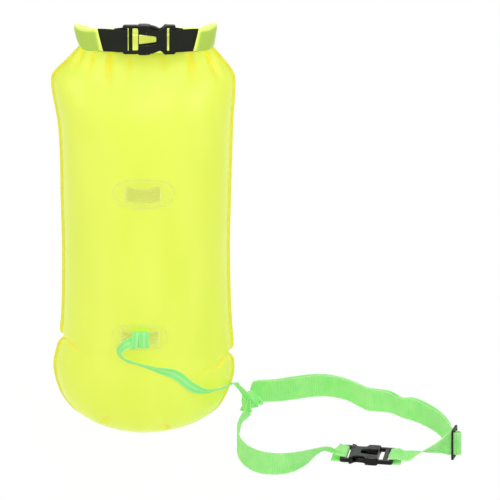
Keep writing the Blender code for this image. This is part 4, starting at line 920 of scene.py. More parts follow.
@dataclass
class FilmBody:
    """The inflated air chamber: two panels of film welded along a rim, and the liner inside."""

    height: float = 0.630
    half_width: float = 0.138
    half_depth: float = 0.080
    weld_out: float = 0.004
    weld_in: float = 0.004
    weld_thickness: float = 0.0016
    seam: float = 0.0011
    film: float = 0.0006
    crease_depth: float = 0.0125
    crease_height: float = 0.0065
    crease_fade: float = 5.0
    tuck: float = 0.004  # how far the film goes up into the roll
    tuck_start: float = 0.985
    pucker: float = 0.0009  # height of the weld's small puckers
    pucker_reach: float = 0.011
    slack: float = 0.0006  # height of the long soft waves
    left_crease: float = 0.240
    right_crease: float = 0.198
    sag: float = 0.014
    sag_middle: float = 0.003
    sag_reach: float = 0.088
    neck: float = 0.86
    power: float = 1.1
    columns: int = 112
    rows: int = 190
    chart: tuple[float, float] = (0.30, 0.66)  # a panel's real size, for its UV map

    def section(self, share: Array, crease_share: Array | float = 1.0) -> tuple[Array, Array, Array]:
        """Reach to the left and right over the weld, and half the depth.

        Args:
            share: heights as shares of the body's.
            crease_share: how much of the side creases shows, as they fade away from the weld.

        Returns:
            Three arrays in metres.
        """
        found = BODY_TABLE.at(share)
        reaches = []
        for side, crease in ((0, self.left_crease), (1, self.right_crease)):
            away = np.abs(share - crease) * self.height / self.crease_height
            notch = self.crease_depth * np.exp(-(away**1.25) * 1.5)
            reaches.append(found[..., side] * self.half_width - notch * crease_share)
        return reaches[0], reaches[1], found[..., 2] * self.half_depth

    def inside(self, side: Array, left: Array, right: Array) -> Array:
        """The reach inside the weld, to the left where the first array is below nought."""
        return np.where(np.asarray(side) < 0, left, right) - self.weld_out

    def drop(self, x: Array) -> Array:
        """How far the mouth hangs below its ends."""
        share = np.minimum(np.abs(x - self.sag_middle) / self.sag_reach, 1.0)
        return self.sag * (1 - share**2)

    def surface(self, across: Array, share: Array, depth_share: Array | float = 1.0) -> Array:
        """Points of the front panel's outer face.

        Args:
            across: from -1 at the left weld to 1 at the right.
            share: heights as shares.
            depth_share: part of the depth.

        Returns:
            Places, with x, y and z on the last axis.
        """
        left, right, depth = self.section(share, np.abs(across) ** self.crease_fade)
        angle = across * math.pi / 2
        x = self.inside(across, left, right) * np.sin(angle)
        y = -self.seam - depth * depth_share * np.maximum(np.cos(angle), 0.0) ** self.power
        neck = np.clip((share - self.neck) / (1 - self.neck), 0.0, 1.0)
        z = share * self.height - self.drop(x) * neck**1.5
        z = z + self.tuck * np.clip((share - self.tuck_start) / (1 - self.tuck_start), 0.0, 1.0)
        return np.stack([x, y - self.film * neck, z], axis=-1)

    def front_y(self, x: Array, z: Array) -> Array:
        """Where the front panel's outer face is."""
        share = np.asarray(z) / self.height
        left, right, _ = self.section(share, 0.0)
        across = np.arcsin(np.clip(np.abs(x) / self.inside(x, left, right), 0.0, 1.0)) * 2 / math.pi
        left, right, depth = self.section(share, across**self.crease_fade)
        bow = np.maximum(1 - (x / self.inside(x, left, right)) ** 2, 0.0)
        return -self.seam - depth * bow ** (self.power / 2)

    def on_front(self, x: Array, z: Array, out: Array | float) -> tuple[Array, Array]:
        """Points in front of the panel, and the panel's normals there.

        Args:
            x: places across.
            z: heights.
            out: how far out along the normal.

        Returns:
            The points and the normals.
        """
        x, z = np.asarray(x, dtype=float), np.asarray(z, dtype=float)
        step = 0.0006
        slope_x = (self.front_y(x + step, z) - self.front_y(x - step, z)) / (2 * step)
        slope_z = (self.front_y(x, z + step) - self.front_y(x, z - step)) / (2 * step)
        normal = unit(np.stack([slope_x, -np.ones_like(x), slope_z], axis=-1))
        spot = np.stack([x, self.front_y(x, z), z], axis=-1)
        return spot + normal * np.asarray(out)[..., None], normal

    def heights(self) -> Array:
        """Heights of the rows as shares, close together at the creases and at both ends."""
        rows = [np.linspace(0.0, 1.0, self.rows), np.linspace(0.0, 0.03, 12), np.linspace(0.93, 1.0, 14)]
        rows += [crease + np.linspace(-0.02, 0.02, 22) for crease in (self.left_crease, self.right_crease)]
        least_step = 0.0012
        kept = [0.0]
        for share in np.sort(np.concatenate(rows)):
            if share - kept[-1] > least_step:
                kept.append(float(share))
        kept[-1] = 1.0
        return np.array(kept)

    def relief(self, base: Array, across: Array, back: bool) -> tuple[Array, Array]:
        """How far the film stands in or out at each point, and where painted shade goes.

        Args:
            base: the smooth panel.
            across: from -1 to 1 at each point.
            back: true for the back panel, whose folds are mirrored and weaker.

        Returns:
            The offsets along the normal, and the strength of the painted shade, which lies in the pleats
            and along the weld line, where the doubled film is deeper in colour too.
        """
        x, y, z = base[..., 0], np.abs(base[..., 1]), base[..., 2]
        side, strength = (-1.0, 0.7) if back else (1.0, 1.0)
        left, right, _ = self.section(np.clip(z / self.height, 0.0, 1.0))
        rim = np.hypot(np.minimum(np.abs(self.inside(across, left, right) - np.abs(x)), z + 0.002), y)
        waver = 2.2 * np.sin(z * 31.0) + 1.7 * np.sin(x * 47.0)
        pucker = np.sin(FULL_TURN * (z / 0.0150 + x / 0.0170) + waver)
        offset = self.pucker * pucker * np.exp(-rim / self.pucker_reach) * blend_share(0.0, 0.006, rim)
        wave = np.sin(x * 41.0 + z * 7.0 + 1.3) * np.sin(z * 23.0 + 0.4)
        wave = wave + 0.6 * np.sin(z * 51.0 + x * 29.0 + 2.0)
        offset = offset + self.slack * wave * blend_share(0.0, 0.04, rim)
        # painted shade along the weld line, partly the doubled film's own deeper tint, and in each pleat
        weld_line, weld_blur, weld_tint_and_shade, full_shade_depth = 0.0035, 0.0028, 0.55, 0.0030
        fold = weld_tint_and_shade * np.exp(-(((rim - weld_line) / weld_blur) ** 2))
        for pleat in PLEATS:
            press = pleat.press(x * side, z) * strength
            offset = offset - pleat.depth * press
            fold = np.maximum(fold, press * min(pleat.depth / full_shade_depth, 1.0))
        return offset * blend_share(0.0, 0.004, rim), np.clip(fold, 0.0, 1.0)

    def build_panel(self, name: str, back: bool) -> Piece:
        """One panel of film, turned in under the buoy at its lower end.

        Args:
            name: the piece's name.
            back: true for the back panel.

        Returns:
            The panel with its folds.
        """
        shares = self.heights()
        under = np.linspace(0.0, 1.0, 8)[:-1]
        level = np.concatenate([np.zeros(len(under)), shares])
        fullness = np.concatenate([under, np.ones(len(shares))])
        across, share = np.meshgrid(np.linspace(-1.0, 1.0, self.columns + 1), level)
        base = self.surface(across, share, fullness[:, None])
        offset, fold = self.relief(base, across, back)
        offset[: len(under)] = 0.0
        offset = offset * blend_share(0.0, 0.012, base[..., 2])
        normal = unit(np.cross(np.gradient(base, axis=1), np.gradient(base, axis=0)))
        normal[..., 1] = -np.abs(normal[..., 1])
        points = base + normal * offset[..., None]
        points[..., 2] = np.maximum(points[..., 2], 0.0)
        if back:
            points[..., 1] *= -1.0
            points, fold = points[:, ::-1], fold[:, ::-1]
        panel = formed_sheet(name, points, self.chart)
        # the fold mark holds the painted shade of the pleats and the weld line
        mark(panel, "fold", fold)
        finish_with(panel, "SOLIDIFY", thickness=self.film, offset=-1.0)
        panel.data.shade_smooth()
        return panel

    def build_rim(self) -> Piece:
        """The welded rim, down the left side, under the buoy and up the right."""
        shares = self.heights()[::-1]
        left, right, _ = self.section(shares)
        down = np.stack([-left, shares * self.height], axis=-1)
        up = np.stack([right, shares * self.height], axis=-1)[::-1]
        bottom = np.linspace(down[-1], up[0], 26)[1:-1]
        outline = np.concatenate([down, bottom, up])
        tangent = unit(np.gradient(outline, axis=0))
        outward = np.stack([tangent[:, 1], np.zeros(len(tangent)), -tangent[:, 0]], axis=-1)
        flat = outline[:, 1] < 1e-6
        outward[flat] = (0.0, 0.0, -1.0)
        half = outward * (self.weld_out + self.weld_in) / 2
        middle = np.stack([outline[:, 0], np.zeros(len(outline)), outline[:, 1]], axis=-1) - half
        wave_height, wave_pace = 0.0005, 0.9
        wave = wave_height * np.sin(np.arange(len(middle)) * wave_pace)
        middle[:, 1] += wave * blend_share(0.004, 0.02, middle[:, 2])
        middle[:, 2] = np.maximum(middle[:, 2], self.weld_out)
        return Ribbon.flat(middle, half).woven("weld_rim", self.weld_thickness, 4)

    def build_liner(self, name: str, side: float) -> Piece:
        """A sheet of the dry compartment, slack and gathered towards its welded foot.

        Args:
            name: the piece's name.
            side: 1 for the front sheet and -1 for the back.

        Returns:
            The sheet.
        """
        narrower, flatter, wave, apart = 0.80, 0.45, 0.0025, 0.0006
        across, up = np.meshgrid(np.linspace(-0.97, 0.97, 41), np.linspace(0.0, 1.0, 51))
        share = self.left_crease + 0.004 + (0.972 - self.left_crease) * up
        points = self.surface(across, share, flatter * np.minimum(up * 3.0, 1.0))
        points[..., 0] *= narrower
        slack = wave * np.sin(across * 23.0 + up * 6.0) * np.sin(up * math.pi) * blend_share(0.05, 0.3, up)
        points[..., 1] = np.minimum(points[..., 1] + self.seam - 0.0010 + slack, -apart) * side
        sheet = formed_sheet(name, points, (0.22, 0.48))
        finish_with(sheet, "SOLIDIFY", thickness=0.0004, offset=0.0)
        return sheet

    def build(self, wardrobe: Wardrobe) -> None:
        """Build and dress the air chamber."""
        wardrobe.dress(self.build_panel("film_front", False), FILM, "buoy", "body_film", "front_panel")
        wardrobe.dress(self.build_panel("film_back", True), FILM, "buoy", "body_film", "back_panel")
        wardrobe.dress(self.build_rim(), WELD, "buoy", "weld", "weld_seam")
        for name, side in (("liner_front", 1.0), ("liner_back", -1.0)):
            liner = self.build_liner(name, side)
            wardrobe.dress(liner, LINER_FILM, "buoy", "liner_film", f"inner_{name}")


# Rolled mouth


@dataclass
class RolledMouth:
    """The mouth rolled up several turns, its ends folded to the front, and the band inside."""

    body: FilmBody
    low_z: float = 0.6303
    front_height: float = 0.0362
    thickness: float = 0.0150
    span: float = 0.219
    shift: float = 0.003
    loop_depth: float = 0.025
    left_end: float = 0.064
    right_end: float = 0.079
    slant: float = 0.0042
    left_lean: float = 0.0110
    right_lean: float = 0.0045
    left_rise: float = 0.0026
    right_rise: float = 0.0045
    turns: float = 3.0
    first_angle: float = math.pi * 0.85
    film: float = 0.0007
    lift: float = 0.0028  # of the two ends in front
    layer: float = 0.0016  # how much thinner each turn is
    layer_tall: float = 0.0007  # how much lower each turn is
    crumple: float = 0.0009
    crumple_reach: float = 0.03

    # the upper edge of the part at the back: place across and height
    BACK_TOP = (
        (-0.1060, 0.6675), (-0.0900, 0.6625), (-0.0670, 0.6565), (-0.0310, 0.6590),
        (0.0090, 0.6608), (0.0460, 0.6600), (0.0820, 0.6585), (0.0960, 0.6625), (0.1120, 0.6690),
    )

    def path(self, trim: float = 0.0) -> tuple[Array, Array, Array]:
        """The roll's middle line, its half height and how far forward it is.

        Args:
            trim: how much shorter it is at each end.

        Returns:
            Points, half heights, and shares from 0 at the back to 1 in front.
        """
        radius = self.loop_depth / 2
        turn_x = self.span / 2 - radius - self.thickness / 2
        corner = np.linspace(math.pi / 2, -math.pi / 2, 25)
        across, back = turn_x + radius * np.cos(corner), radius * (np.sin(corner) - 1)
        left_turn = np.stack([self.shift - across, back], axis=-1)[::-1]
        right_turn = np.stack([self.shift + across, back], axis=-1)
        left_front = [[-self.left_end - trim, -self.loop_depth]]
        right_front = [[self.right_end + trim, -self.loop_depth]]
        flat = np.concatenate([left_front, left_turn, right_turn, right_front])
        run = run_of(flat)
        at = np.linspace(0.0, run[-1], 131)
        x, y = (np.interp(at, run, column) for column in flat.T)
        forward = blend_share(0.0, 0.6 * self.loop_depth, -y)
        lowest = self.low_z - self.body.drop(x) * (1 - forward) + self.lift * forward
        places, tops = np.array(self.BACK_TOP).T
        front_top = self.low_z + self.lift + self.front_height
        highest = np.interp(x, places, tops) * (1 - forward) + front_top * forward
        aside = x - self.shift
        rise = np.where(aside < 0, self.left_rise, self.right_rise)
        half = (highest + blend_share(0.080, 0.107, np.abs(aside)) * rise - lowest) / 2
        return np.stack([x, y, lowest + half], axis=-1), half, forward

    def leans(self, x: Array) -> Array:
        """How far the roll's lower edge is drawn in at each place."""
        inner = np.where(x < 0, self.left_end, self.right_end)
        lean = np.where(x < 0, self.left_lean, -self.right_lean)
        return blend_share(inner, self.span / 2, np.abs(x)) * lean

    def crumpled(self, run: Array) -> Array:
        """How far the film is crumpled near the two ends, along the roll."""
        left = np.sin(run * 230.0) * np.exp(-(((run - 0.045) / self.crumple_reach) ** 2))
        right = np.sin(run * 210.0) * np.exp(-(((run[-1] - run - 0.04) / self.crumple_reach) ** 2))
        return self.crumple * (left + right)

    def build_roll(self) -> Piece:
        """The film rolled on itself, as one spiral sheet swept along the mouth."""
        middle, half, forward = self.path()
        out, run, count = left_of(middle), run_of(middle), len(middle)
        turn = np.linspace(0.0, self.turns, 150)
        angle = turn * FULL_TURN + self.first_angle
        side_x, side_z = eased(np.cos(angle), 0.45), eased(np.sin(angle), 0.85)
        centre = np.array([self.shift, -self.loop_depth / 2, 0.0])
        inward = np.where((out * (centre - middle * LEVEL)).sum(axis=1) > 0, 1.0, -1.0)
        fuller = (forward * (1 - forward))[:, None] * (side_x * inward[:, None] > 0)
        wide = side_x * (self.thickness / 2 - self.film / 2 - self.layer * turn) * (1 + fuller)
        wide = wide * (1.0 + self.crumpled(run)[:, None] / (self.thickness / 2) * np.cos(angle * 2.0))
        tall = side_z * (half[:, None] - self.film / 2 - self.layer_tall * turn)
        points = middle[:, None] + wide[..., None] * out[:, None] + tall[..., None] * UP
        end_side = np.where(np.arange(count) < count / 2, -1.0, 1.0)
        slant = self.slant * np.exp(-np.minimum(run, run[-1] - run) / 0.02) * end_side
        height = tall / half[:, None]
        points[..., 0] += height * slant[:, None] + (1 - height) / 2 * self.leans(middle[:, 0])[:, None]
        edge = np.minimum(np.arange(count), np.arange(count)[::-1])[:, None]
        at_front = forward[:, None]
        # the fold mark on the roll is painted highlight: on its folded ends, on its top in front, and on
        # its back part, where it lightens the shade behind the buckle
        end_highlight, top_highlight, end_blur = 0.85, 0.62, 1.6
        fold = end_highlight * np.exp(-((edge / end_blur) ** 2))
        fold = fold + top_highlight * blend_share(0.72, 1.0, np.sin(angle)) * at_front
        fold = fold + (1 - at_front) * (0.5 + 0.5 * blend_share(-0.3, 0.3, -side_x))
        roll = formed_sheet("rolled_mouth", points, (0.30, 0.30))
        mark(roll, "fold", np.clip(fold, 0.0, 1.0))
        finish_with(roll, "SOLIDIFY", thickness=self.film, offset=0.0)
        roll.data.shade_smooth()
        return roll

    def build_band(self) -> Piece:
        """The stiff band that the mouth is rolled round."""
        shorter, half_band, thickness = 0.012, 0.012, 0.0016
        middle, tall, _ = self.path(shorter)
        leans, half = self.leans(middle[:, 0]), np.tile(UP * half_band, (len(middle), 1))
        middle[:, 0] += leans / 2
        half[:, 0] = -leans * half_band / 2 / tall
        return Ribbon.flat(middle, half).woven("mouth_stiffener", thickness, 2)

    def build(self, wardrobe: Wardrobe) -> None:
        """Build and dress the rolled mouth."""
        wardrobe.dress(self.build_roll(), ROLL_FILM, "buoy", "roll_film", "roll_top")
        wardrobe.dress(self.build_band(), BLACK_WEB, "buoy", "black_webbing", "mouth_band")


# Buckles


@dataclass(frozen=True)
class BuckleSizes:
    """Sizes that both side-release buckles share, from the ladder end of the plug half."""

    length: float = 0.0795
    width: float = 0.0490
    thickness: float = 0.011
    bar: float = 0.006
    outer_bar: float = 0.006
    strap_slot: float = 0.0032
    spare_start: float = 0.0150
    spare_end: float = 0.0225
    slot_span: float = 0.0394
    split: float = 0.0362
    window_start: float = 0.0247
    window_end: float = 0.0504
    window_wide: float = 0.0200
    window_narrow: float = 0.0130
    pocket: float = 0.0251
    pivot_x: float = 0.0294
    pivot_y: float = 0.0146
    root: float = 0.0040
    latch: float = 0.0409
    tip: float = 0.0590
    bulge: float = 0.0234
    waist: float = 0.0187
    channel_end: float = 0.0603
    ear: float = 0.0215
    socket_waist: float = 0.0172
    slot_start: float = 0.0665
    slot_end: float = 0.0716
    prong: float = 0.0056
    clear: float = TOUCH
    seam: float = 0.00003
    round_edge: float = 0.0006
    grip_start: float = 0.0052  # of the pressed lines, past the spare slot
    grip_pitch: float = 0.0024
    grip_wide: float = 0.0009
    grip_reach: float = 0.0032
    grip_inset: float = 0.0060
    grip_depth: float = 0.0004


@dataclass
class SideReleaseBuckle:
    """A side-release buckle in its own frame: x along it and z out of its face."""

    prefix: str
    frame: Matrix
    bodies: tuple[str, str, str]
    nodes: tuple[str, str]
    sizes: BuckleSizes = BuckleSizes()

    def window_half(self, x: float) -> float:
        """Half the middle window's width at this place."""
        s = self.sizes
        share = (x - s.window_start) / (s.window_end - s.window_start)
        return (s.window_wide + (s.window_narrow - s.window_wide) * share) / 2

    def build_plug(self) -> Piece:
        """The plug half: a ladder of two bars and a shoulder that the prongs turn in."""
        s = self.sizes
        half, inset, corner = s.width / 2, 0.0006, 0.0045
        ladder = fillet(mirrored([(0.0, half - inset), (s.spare_end + 0.002, half - inset)]), corner, 5)
        plug = plate(f"{self.prefix}_plug_half", ladder, -s.bar / 2, s.bar / 2)
        end = s.split - s.seam
        shoulder = [
            (s.spare_end, half - 0.0022),
            (s.spare_end + 0.0026, half),
            (end, half),
            (end, self.window_half(end)),
            (s.window_start, s.window_wide / 2),
        ]
        rounded = fillet(mirrored(shoulder), 0.0016, 3, sharp_x=end)
        block = plate("shoulder", rounded, -s.thickness / 2, s.thickness / 2)
        join_or_cut(plug, block, "UNION")
        slots = (
            (s.outer_bar, s.outer_bar + s.strap_slot, s.slot_span / 2),
            (s.spare_start, s.spare_end + 0.0008, s.slot_span / 2 - inset),
        )
        for low, high, span in slots:
            shape = fillet(rectangle(low, high, -span, span), 0.0011, 3)
            join_or_cut(plug, plate("slot", shape, -s.thickness, s.thickness))
        reach = s.pivot_y + s.root + 2 * s.clear
        hollow = s.prong / 2 + s.clear
        pocket = plate("pocket", rectangle(s.pocket, end + 0.002, -reach, reach), -hollow, hollow)
        join_or_cut(plug, pocket)
        for step in range(3):
            x = s.spare_end + s.grip_start + s.grip_pitch * step
            for side in (1, -1):
                y = side * (half - s.grip_inset)
                line = rectangle(x, x + s.grip_wide, y - s.grip_reach, y + s.grip_reach)
                join_or_cut(plug, plate("groove", line, s.thickness / 2 - s.grip_depth, BEYOND))
        soften_edges(plug, s.round_edge)
        return plug

    def build_socket(self) -> Piece:
        """The socket half: two skins joined by a spine, ears that hold the prongs, and a frame."""
        s = self.sizes
        wide = s.width / 2 - 0.0004
        start = s.split + s.seam
        skins = [
            (s.window_end, s.window_narrow / 2),
            (start, self.window_half(start)),
            (start, wide),
            (s.latch, wide),
            (s.latch + 0.0016, s.socket_waist + 0.0016),
            (s.latch + 0.0050, s.socket_waist),
            (s.channel_end - 0.0030, s.socket_waist - 0.0006),
            (s.channel_end + 0.0022, wide - 0.0010),
            (s.slot_start - 0.0005, wide),
        ]
        rounded = fillet(mirrored(skins), 0.0022, 4, sharp_x=start)
        socket = plate(f"{self.prefix}_socket_half", rounded, -s.thickness / 2, s.thickness / 2)
        frame = [(s.channel_end, s.socket_waist), (s.channel_end + 0.0030, wide), (s.length, wide)]
        ring = plate("ring", fillet(mirrored(frame), 0.0042, 5), -s.bar / 2, s.bar / 2)
        join_or_cut(socket, ring, "UNION")
        span = s.slot_span / 2
        slot = fillet(rectangle(s.slot_start, s.slot_end, -span, span), 0.0012, 3)
        join_or_cut(socket, plate("slot", slot, -BEYOND, BEYOND))
        hollow = s.prong / 2 + s.clear
        for side in (1, -1):
            for low, reach in ((start - 0.002, s.ear), (s.latch, s.width)):
                near, far = sorted((side * 0.005, side * reach))
                throat = rectangle(low, s.channel_end, near, far)
                join_or_cut(socket, plate("throat", throat, -hollow, hollow))
        dish = fillet(rectangle(s.slot_start - 0.0052, s.slot_start - 0.0016, -0.011, 0.011), 0.0016, 4)
        join_or_cut(socket, plate("dish", dish, s.thickness / 2 - 0.0005, BEYOND))
        soften_edges(socket, s.round_edge)
        return socket

    def build_prong(self, name: str, side: int) -> Piece:
        """One prong at its place in the buckle's frame.

        Args:
            name: the piece's name.
            side: 1 or -1, the way across the buckle.

        Returns:
            The prong.
        """
        s = self.sizes
        shoulder, tip_y = s.latch + s.clear, s.pivot_y + 2 * s.clear
        outline = []
        for turn in np.linspace(-math.pi / 2, -math.pi * 1.5, 17):
            outline.append((s.pivot_x + s.root * math.cos(turn), s.pivot_y + s.root * math.sin(turn)))
        outline += [(shoulder, s.waist), (shoulder, s.bulge)]
        for share in np.arange(1, 12) / 12:
            x = shoulder + (s.tip - shoulder) * share
            outline.append((x, s.bulge - (s.bulge - tip_y) * share**1.7))
        outline += [(s.tip, tip_y), (s.tip - 0.0009, tip_y - 0.001)]
        outline.append((shoulder, s.pivot_y - s.root + s.clear))
        outline = [(x, side * y) for x, y in outline]
        prong = plate(name, outline, -s.prong / 2, s.prong / 2)
        soften_edges(prong, 0.0005, 2, 40.0)
        return prong

    def build(self, wardrobe: Wardrobe) -> None:
        """Build both halves and both prongs, in place."""
        plug_body, first_body, second_body = self.bodies
        first, second = self.nodes
        plans = (
            (self.build_plug(), plug_body, f"{self.prefix}_male"),
            (self.build_socket(), "buoy", f"{self.prefix}_female"),
            (self.build_prong(f"{first}_arm", 1), first_body, first),
            (self.build_prong(f"{second}_arm", -1), second_body, second),
        )
        for piece, body, node in plans:
            piece.data.transform(self.frame)
            wardrobe.dress(piece, ACETAL, body, "black_plastic", node)


def bar_wrap(edge: float, inward: int, offset: float) -> Outline:
    """Points of a strap round a bar's inner edge, seen from the side.

    Args:
        edge: where the bar's inner edge is.
        inward: 1 or -1, the way to the buckle's middle.
        offset: from the bar's middle to the strap's.

    Returns:
        Places along the buckle and out of its face.
    """
    half, quarter = BuckleSizes().bar / 2, np.linspace(0.0, math.pi / 2, 7)
    reach = offset - half
    points = []
    for side, angles in ((1, quarter), (-1, quarter[::-1])):
        for angle in angles:
            out = side * (half + reach * math.cos(angle))
            points.append((edge + inward * reach * math.sin(angle), out))
    return points


@dataclass
class Closure:
    """The closure on the rolled mouth: its buckle and the two short black straps."""

    shift: float = 0.009
    depth: float = 0.025
    middle_z: float = 0.6503
    strap: float = 0.037
    thickness: float = 0.0016
    left_mouth: float = 0.064
    right_mouth: float = 0.079
    inset: float = 0.004
    slant: float = 0.0042
    offset: float = 0.0041
    tack_x: float = 0.0545

    def frame(self) -> Matrix:
        """The buckle's frame, its plug half on the left and its face to the front."""
        start = self.shift - BuckleSizes().length / 2
        return frame_of((start, -self.depth, self.middle_z), (1.0, 0.0, 0.0), (0.0, -1.0, 0.0))

    def build_tab(self, name: str, bar_end: float, edge: float, inward: int, mouth: float) -> Piece:
        """A strap from inside the roll, round a bar of the buckle and back.

        Args:
            name: the piece's name.
            bar_end: the buckle's end, along it.
            edge: the bar's inner edge.
            inward: 1 or -1, the way to the buckle's middle.
            mouth: where the roll ends, across the buoy.

        Returns:
            The strap.
        """
        frame = self.frame()
        wrap = [frame @ Vector((x, 0.0, z)) for x, z in bar_wrap(edge, inward, self.offset)]
        outer = frame @ Vector((bar_end, 0.0, self.offset))
        inner = frame @ Vector((bar_end, 0.0, -self.offset))
        hidden = Vector((mouth - inward * self.inset, -self.depth, self.middle_z))
        at_mouth = Vector((mouth + inward * self.slant, -self.depth, self.middle_z))
        sewn = (at_mouth + outer) / 2
        behind = Vector((0.0, self.thickness * 1.5, 0.0))
        back = inner.lerp(sewn + behind, 0.85)
        route = [hidden, at_mouth, sewn, outer, *wrap, inner, back]
        strap = Ribbon.flat(route, UP * (self.strap / 2)).even(0.0014).rounded(2)
        return strap.woven(name, self.thickness, 10)

    def build_bartack(self, name: str, x: float) -> Piece:
        """Two close rows of stitches across a strap.

        Args:
            name: the piece's name.
            x: their place across the buoy.

        Returns:
            The stitches as one piece.
        """
        half_wide, half_tall, proud, columns = 0.00035, 0.0009, 0.0005, (0.0, 0.0022)
        count, low, pitch = 13, self.middle_z - 0.0155, 0.00258
        outline = fillet(rectangle(-half_wide, half_wide, -half_tall, half_tall), 0.0003, 2)
        face = -self.depth - self.thickness / 2 - 0.0002
        stitches = []
        for column in columns:
            for z in low + np.arange(count) * pitch:
                stitch = plate(name, outline, 0.0, proud)
                stitch.data.transform(frame_of((x + column, face, z), (1.0, 0.0, 0.0), (0.0, -1.0, 0.0)))
                stitches.append(stitch)
        tack = joined(stitches)
        tack.data.shade_smooth()
        return tack

    def build(self, wardrobe: Wardrobe) -> None:
        """Build and dress the closure."""
        sizes = BuckleSizes()
        SideReleaseBuckle(
            "closure",
            Matrix.Translation((0.0, 0.0, 0.0010)) @ self.frame(),
            ("closure_plug", "closure_upper_prong", "closure_lower_prong"),
            ("closure_prong_upper", "closure_prong_lower"),
            BuckleSizes(width=0.0474, thickness=0.0104, bulge=0.0228, waist=0.0184),
        ).build(wardrobe)
        right = self.build_tab("closure_tab_right", sizes.length, sizes.slot_end, -1, self.right_mouth)
        wardrobe.dress(right, BLACK_WEB, "buoy", "black_webbing", "closure_strap_right")
        left = self.build_tab("closure_tab_left", 0.0, sizes.outer_bar, 1, -self.left_mouth)
        wardrobe.dress(left, BLACK_WEB, "", "black_webbing", "closure_strap_left")
        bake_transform(left)
        tack = self.build_bartack("closure_stitches_right", self.tack_x)
        wardrobe.dress(tack, BLACK_WEB, "buoy", "black_webbing")


# Patches


@dataclass
class LoopPatch:
    """A clear patch welded on the film, with a bridge over it that a strap passes under."""

    name: str
    centre_x: float
    centre_z: float
    wide: float
    tall: float
    bridge_wide: float
    bridge_tall: float
    body: FilmBody
    wall: float = 0.0012
    bridge_wall: float = 0.0018
    lift: float = 0.0062
    foot: float = 0.007
    ramp: float = 0.007
    skin: float = 0.0006
    gap: float = TOUCH
    corner: float = 0.42

    def build_base(self) -> Piece:
        """The base, with a raised welded rim and a shallow inner step."""
        a, b = np.meshgrid(np.linspace(-1.0, 1.0, 57), np.linspace(-1.0, 1.0, 37))
        u = a * np.sqrt(1 - self.corner * b * b)
        v = b * np.sqrt(1 - self.corner * a * a)
        rim = np.maximum(np.abs(a), np.abs(b))
        seat = np.full_like(rim, self.skin + self.wall / 2)
        for share, height in ((0.93, 0.0005), (0.78, 0.0003)):
            seat += height * np.exp(-(((rim - share) / 0.03) ** 2))
        x, z = self.centre_x + u * self.wide / 2, self.centre_z + v * self.tall / 2
        points, _ = self.body.on_front(x, z, seat)
        base = formed_sheet(f"{self.name}_patch_base", points, (self.wide, self.tall))
        finish_with(base, "SOLIDIFY", thickness=self.wall, offset=0.0)
        soften_edges(base, 0.0004, 2, 60.0)
        return base

    def seat(self) -> float:
        """How far out of the film the bridge's wall is at its feet."""
        return self.skin + self.wall + self.gap + self.bridge_wall / 2

    def crown_y(self) -> float:
        """Where the middle of the bridge's wall stands."""
        spot, _ = self.body.on_front(self.centre_x, self.centre_z, self.seat() + self.lift)
        return float(spot[1])

    def bridge_line(self) -> Outline:
        """The bridge from foot to foot: places across, and how far back each one is."""
        reach = self.bridge_wide / 2
        ramp_end = reach - self.foot - self.ramp
        crown = self.crown_y()
        line = []
        for x in (-reach, self.foot - reach, -ramp_end, ramp_end, reach - self.foot, reach):
            y = crown
            if abs(x) > ramp_end:
                levels = self.centre_z + np.array([-1.0, 0.0, 1.0]) * self.bridge_tall / 2
                y = float(self.body.front_y(self.centre_x + x, levels).min()) - self.seat() - self.gap
            line.append((self.centre_x + x, y))
        return line

    def build_bridge(self) -> Piece:
        """The bridge, welded at its two feet and flat on its crown."""
        route = [(x, y, self.centre_z) for x, y in self.bridge_line()]
        bridge = Ribbon.flat(route, UP * self.bridge_tall / 2).even(0.0008).rounded(3)
        return bridge.woven(f"{self.name}_patch_bridge", self.bridge_wall, 10)

    def build_edges(self) -> Piece:
        """The welded edge round the base: a fine bead, painted pale and glowing as a highlight."""
        turn = np.linspace(0.0, FULL_TURN, 121)
        inset, squareness = 0.003, 0.8
        x = self.centre_x + eased(np.cos(turn), squareness) * (self.wide / 2 - inset)
        z = self.centre_z + eased(np.sin(turn), squareness) * (self.tall / 2 - inset)
        line, _ = self.body.on_front(x, z, self.skin + self.wall + 0.0004)
        return tube(f"{self.name}_patch_edge", line, 0.0006)

    def build_ribs(self) -> Piece:
        """The pressed lines along the bridge's face, and the welds at its two feet, painted pale and
        glowing as highlights.
        """
        proud = self.bridge_wall / 2 + TOUCH
        half = self.bridge_tall / 2
        face = [np.array([x, y - proud, self.centre_z]) for x, y in self.bridge_line()]
        across = Ribbon.flat(face, UP).even(0.0015).middle
        up = np.outer(np.linspace(-0.92, 0.92, 8) * half, UP)
        rows = ((0.92, 0.0007), (0.12, 0.0005), (-0.92, 0.0006))
        lines = [(across + UP * share * half, radius) for share, radius in rows]
        lines += [(foot + up, 0.0006) for foot in (face[0], face[-1])]
        return joined([tube(f"{self.name}_bridge_lines", line, radius) for line, radius in lines])

    def build(self, wardrobe: Wardrobe) -> None:
        """Build and dress the patch."""
        wardrobe.dress(self.build_edges(), EDGE_HIGHLIGHT_VINYL, "buoy", "clear_vinyl")
        wardrobe.dress(self.build_ribs(), LINE_HIGHLIGHT_VINYL, "buoy", "clear_vinyl")
        wardrobe.dress(self.build_base(), VINYL, "buoy", "clear_vinyl", f"{self.name}_patch")
        wardrobe.dress(self.build_bridge(), BRIDGE_VINYL, "buoy", "clear_vinyl", f"{self.name}_loop")


# Belt


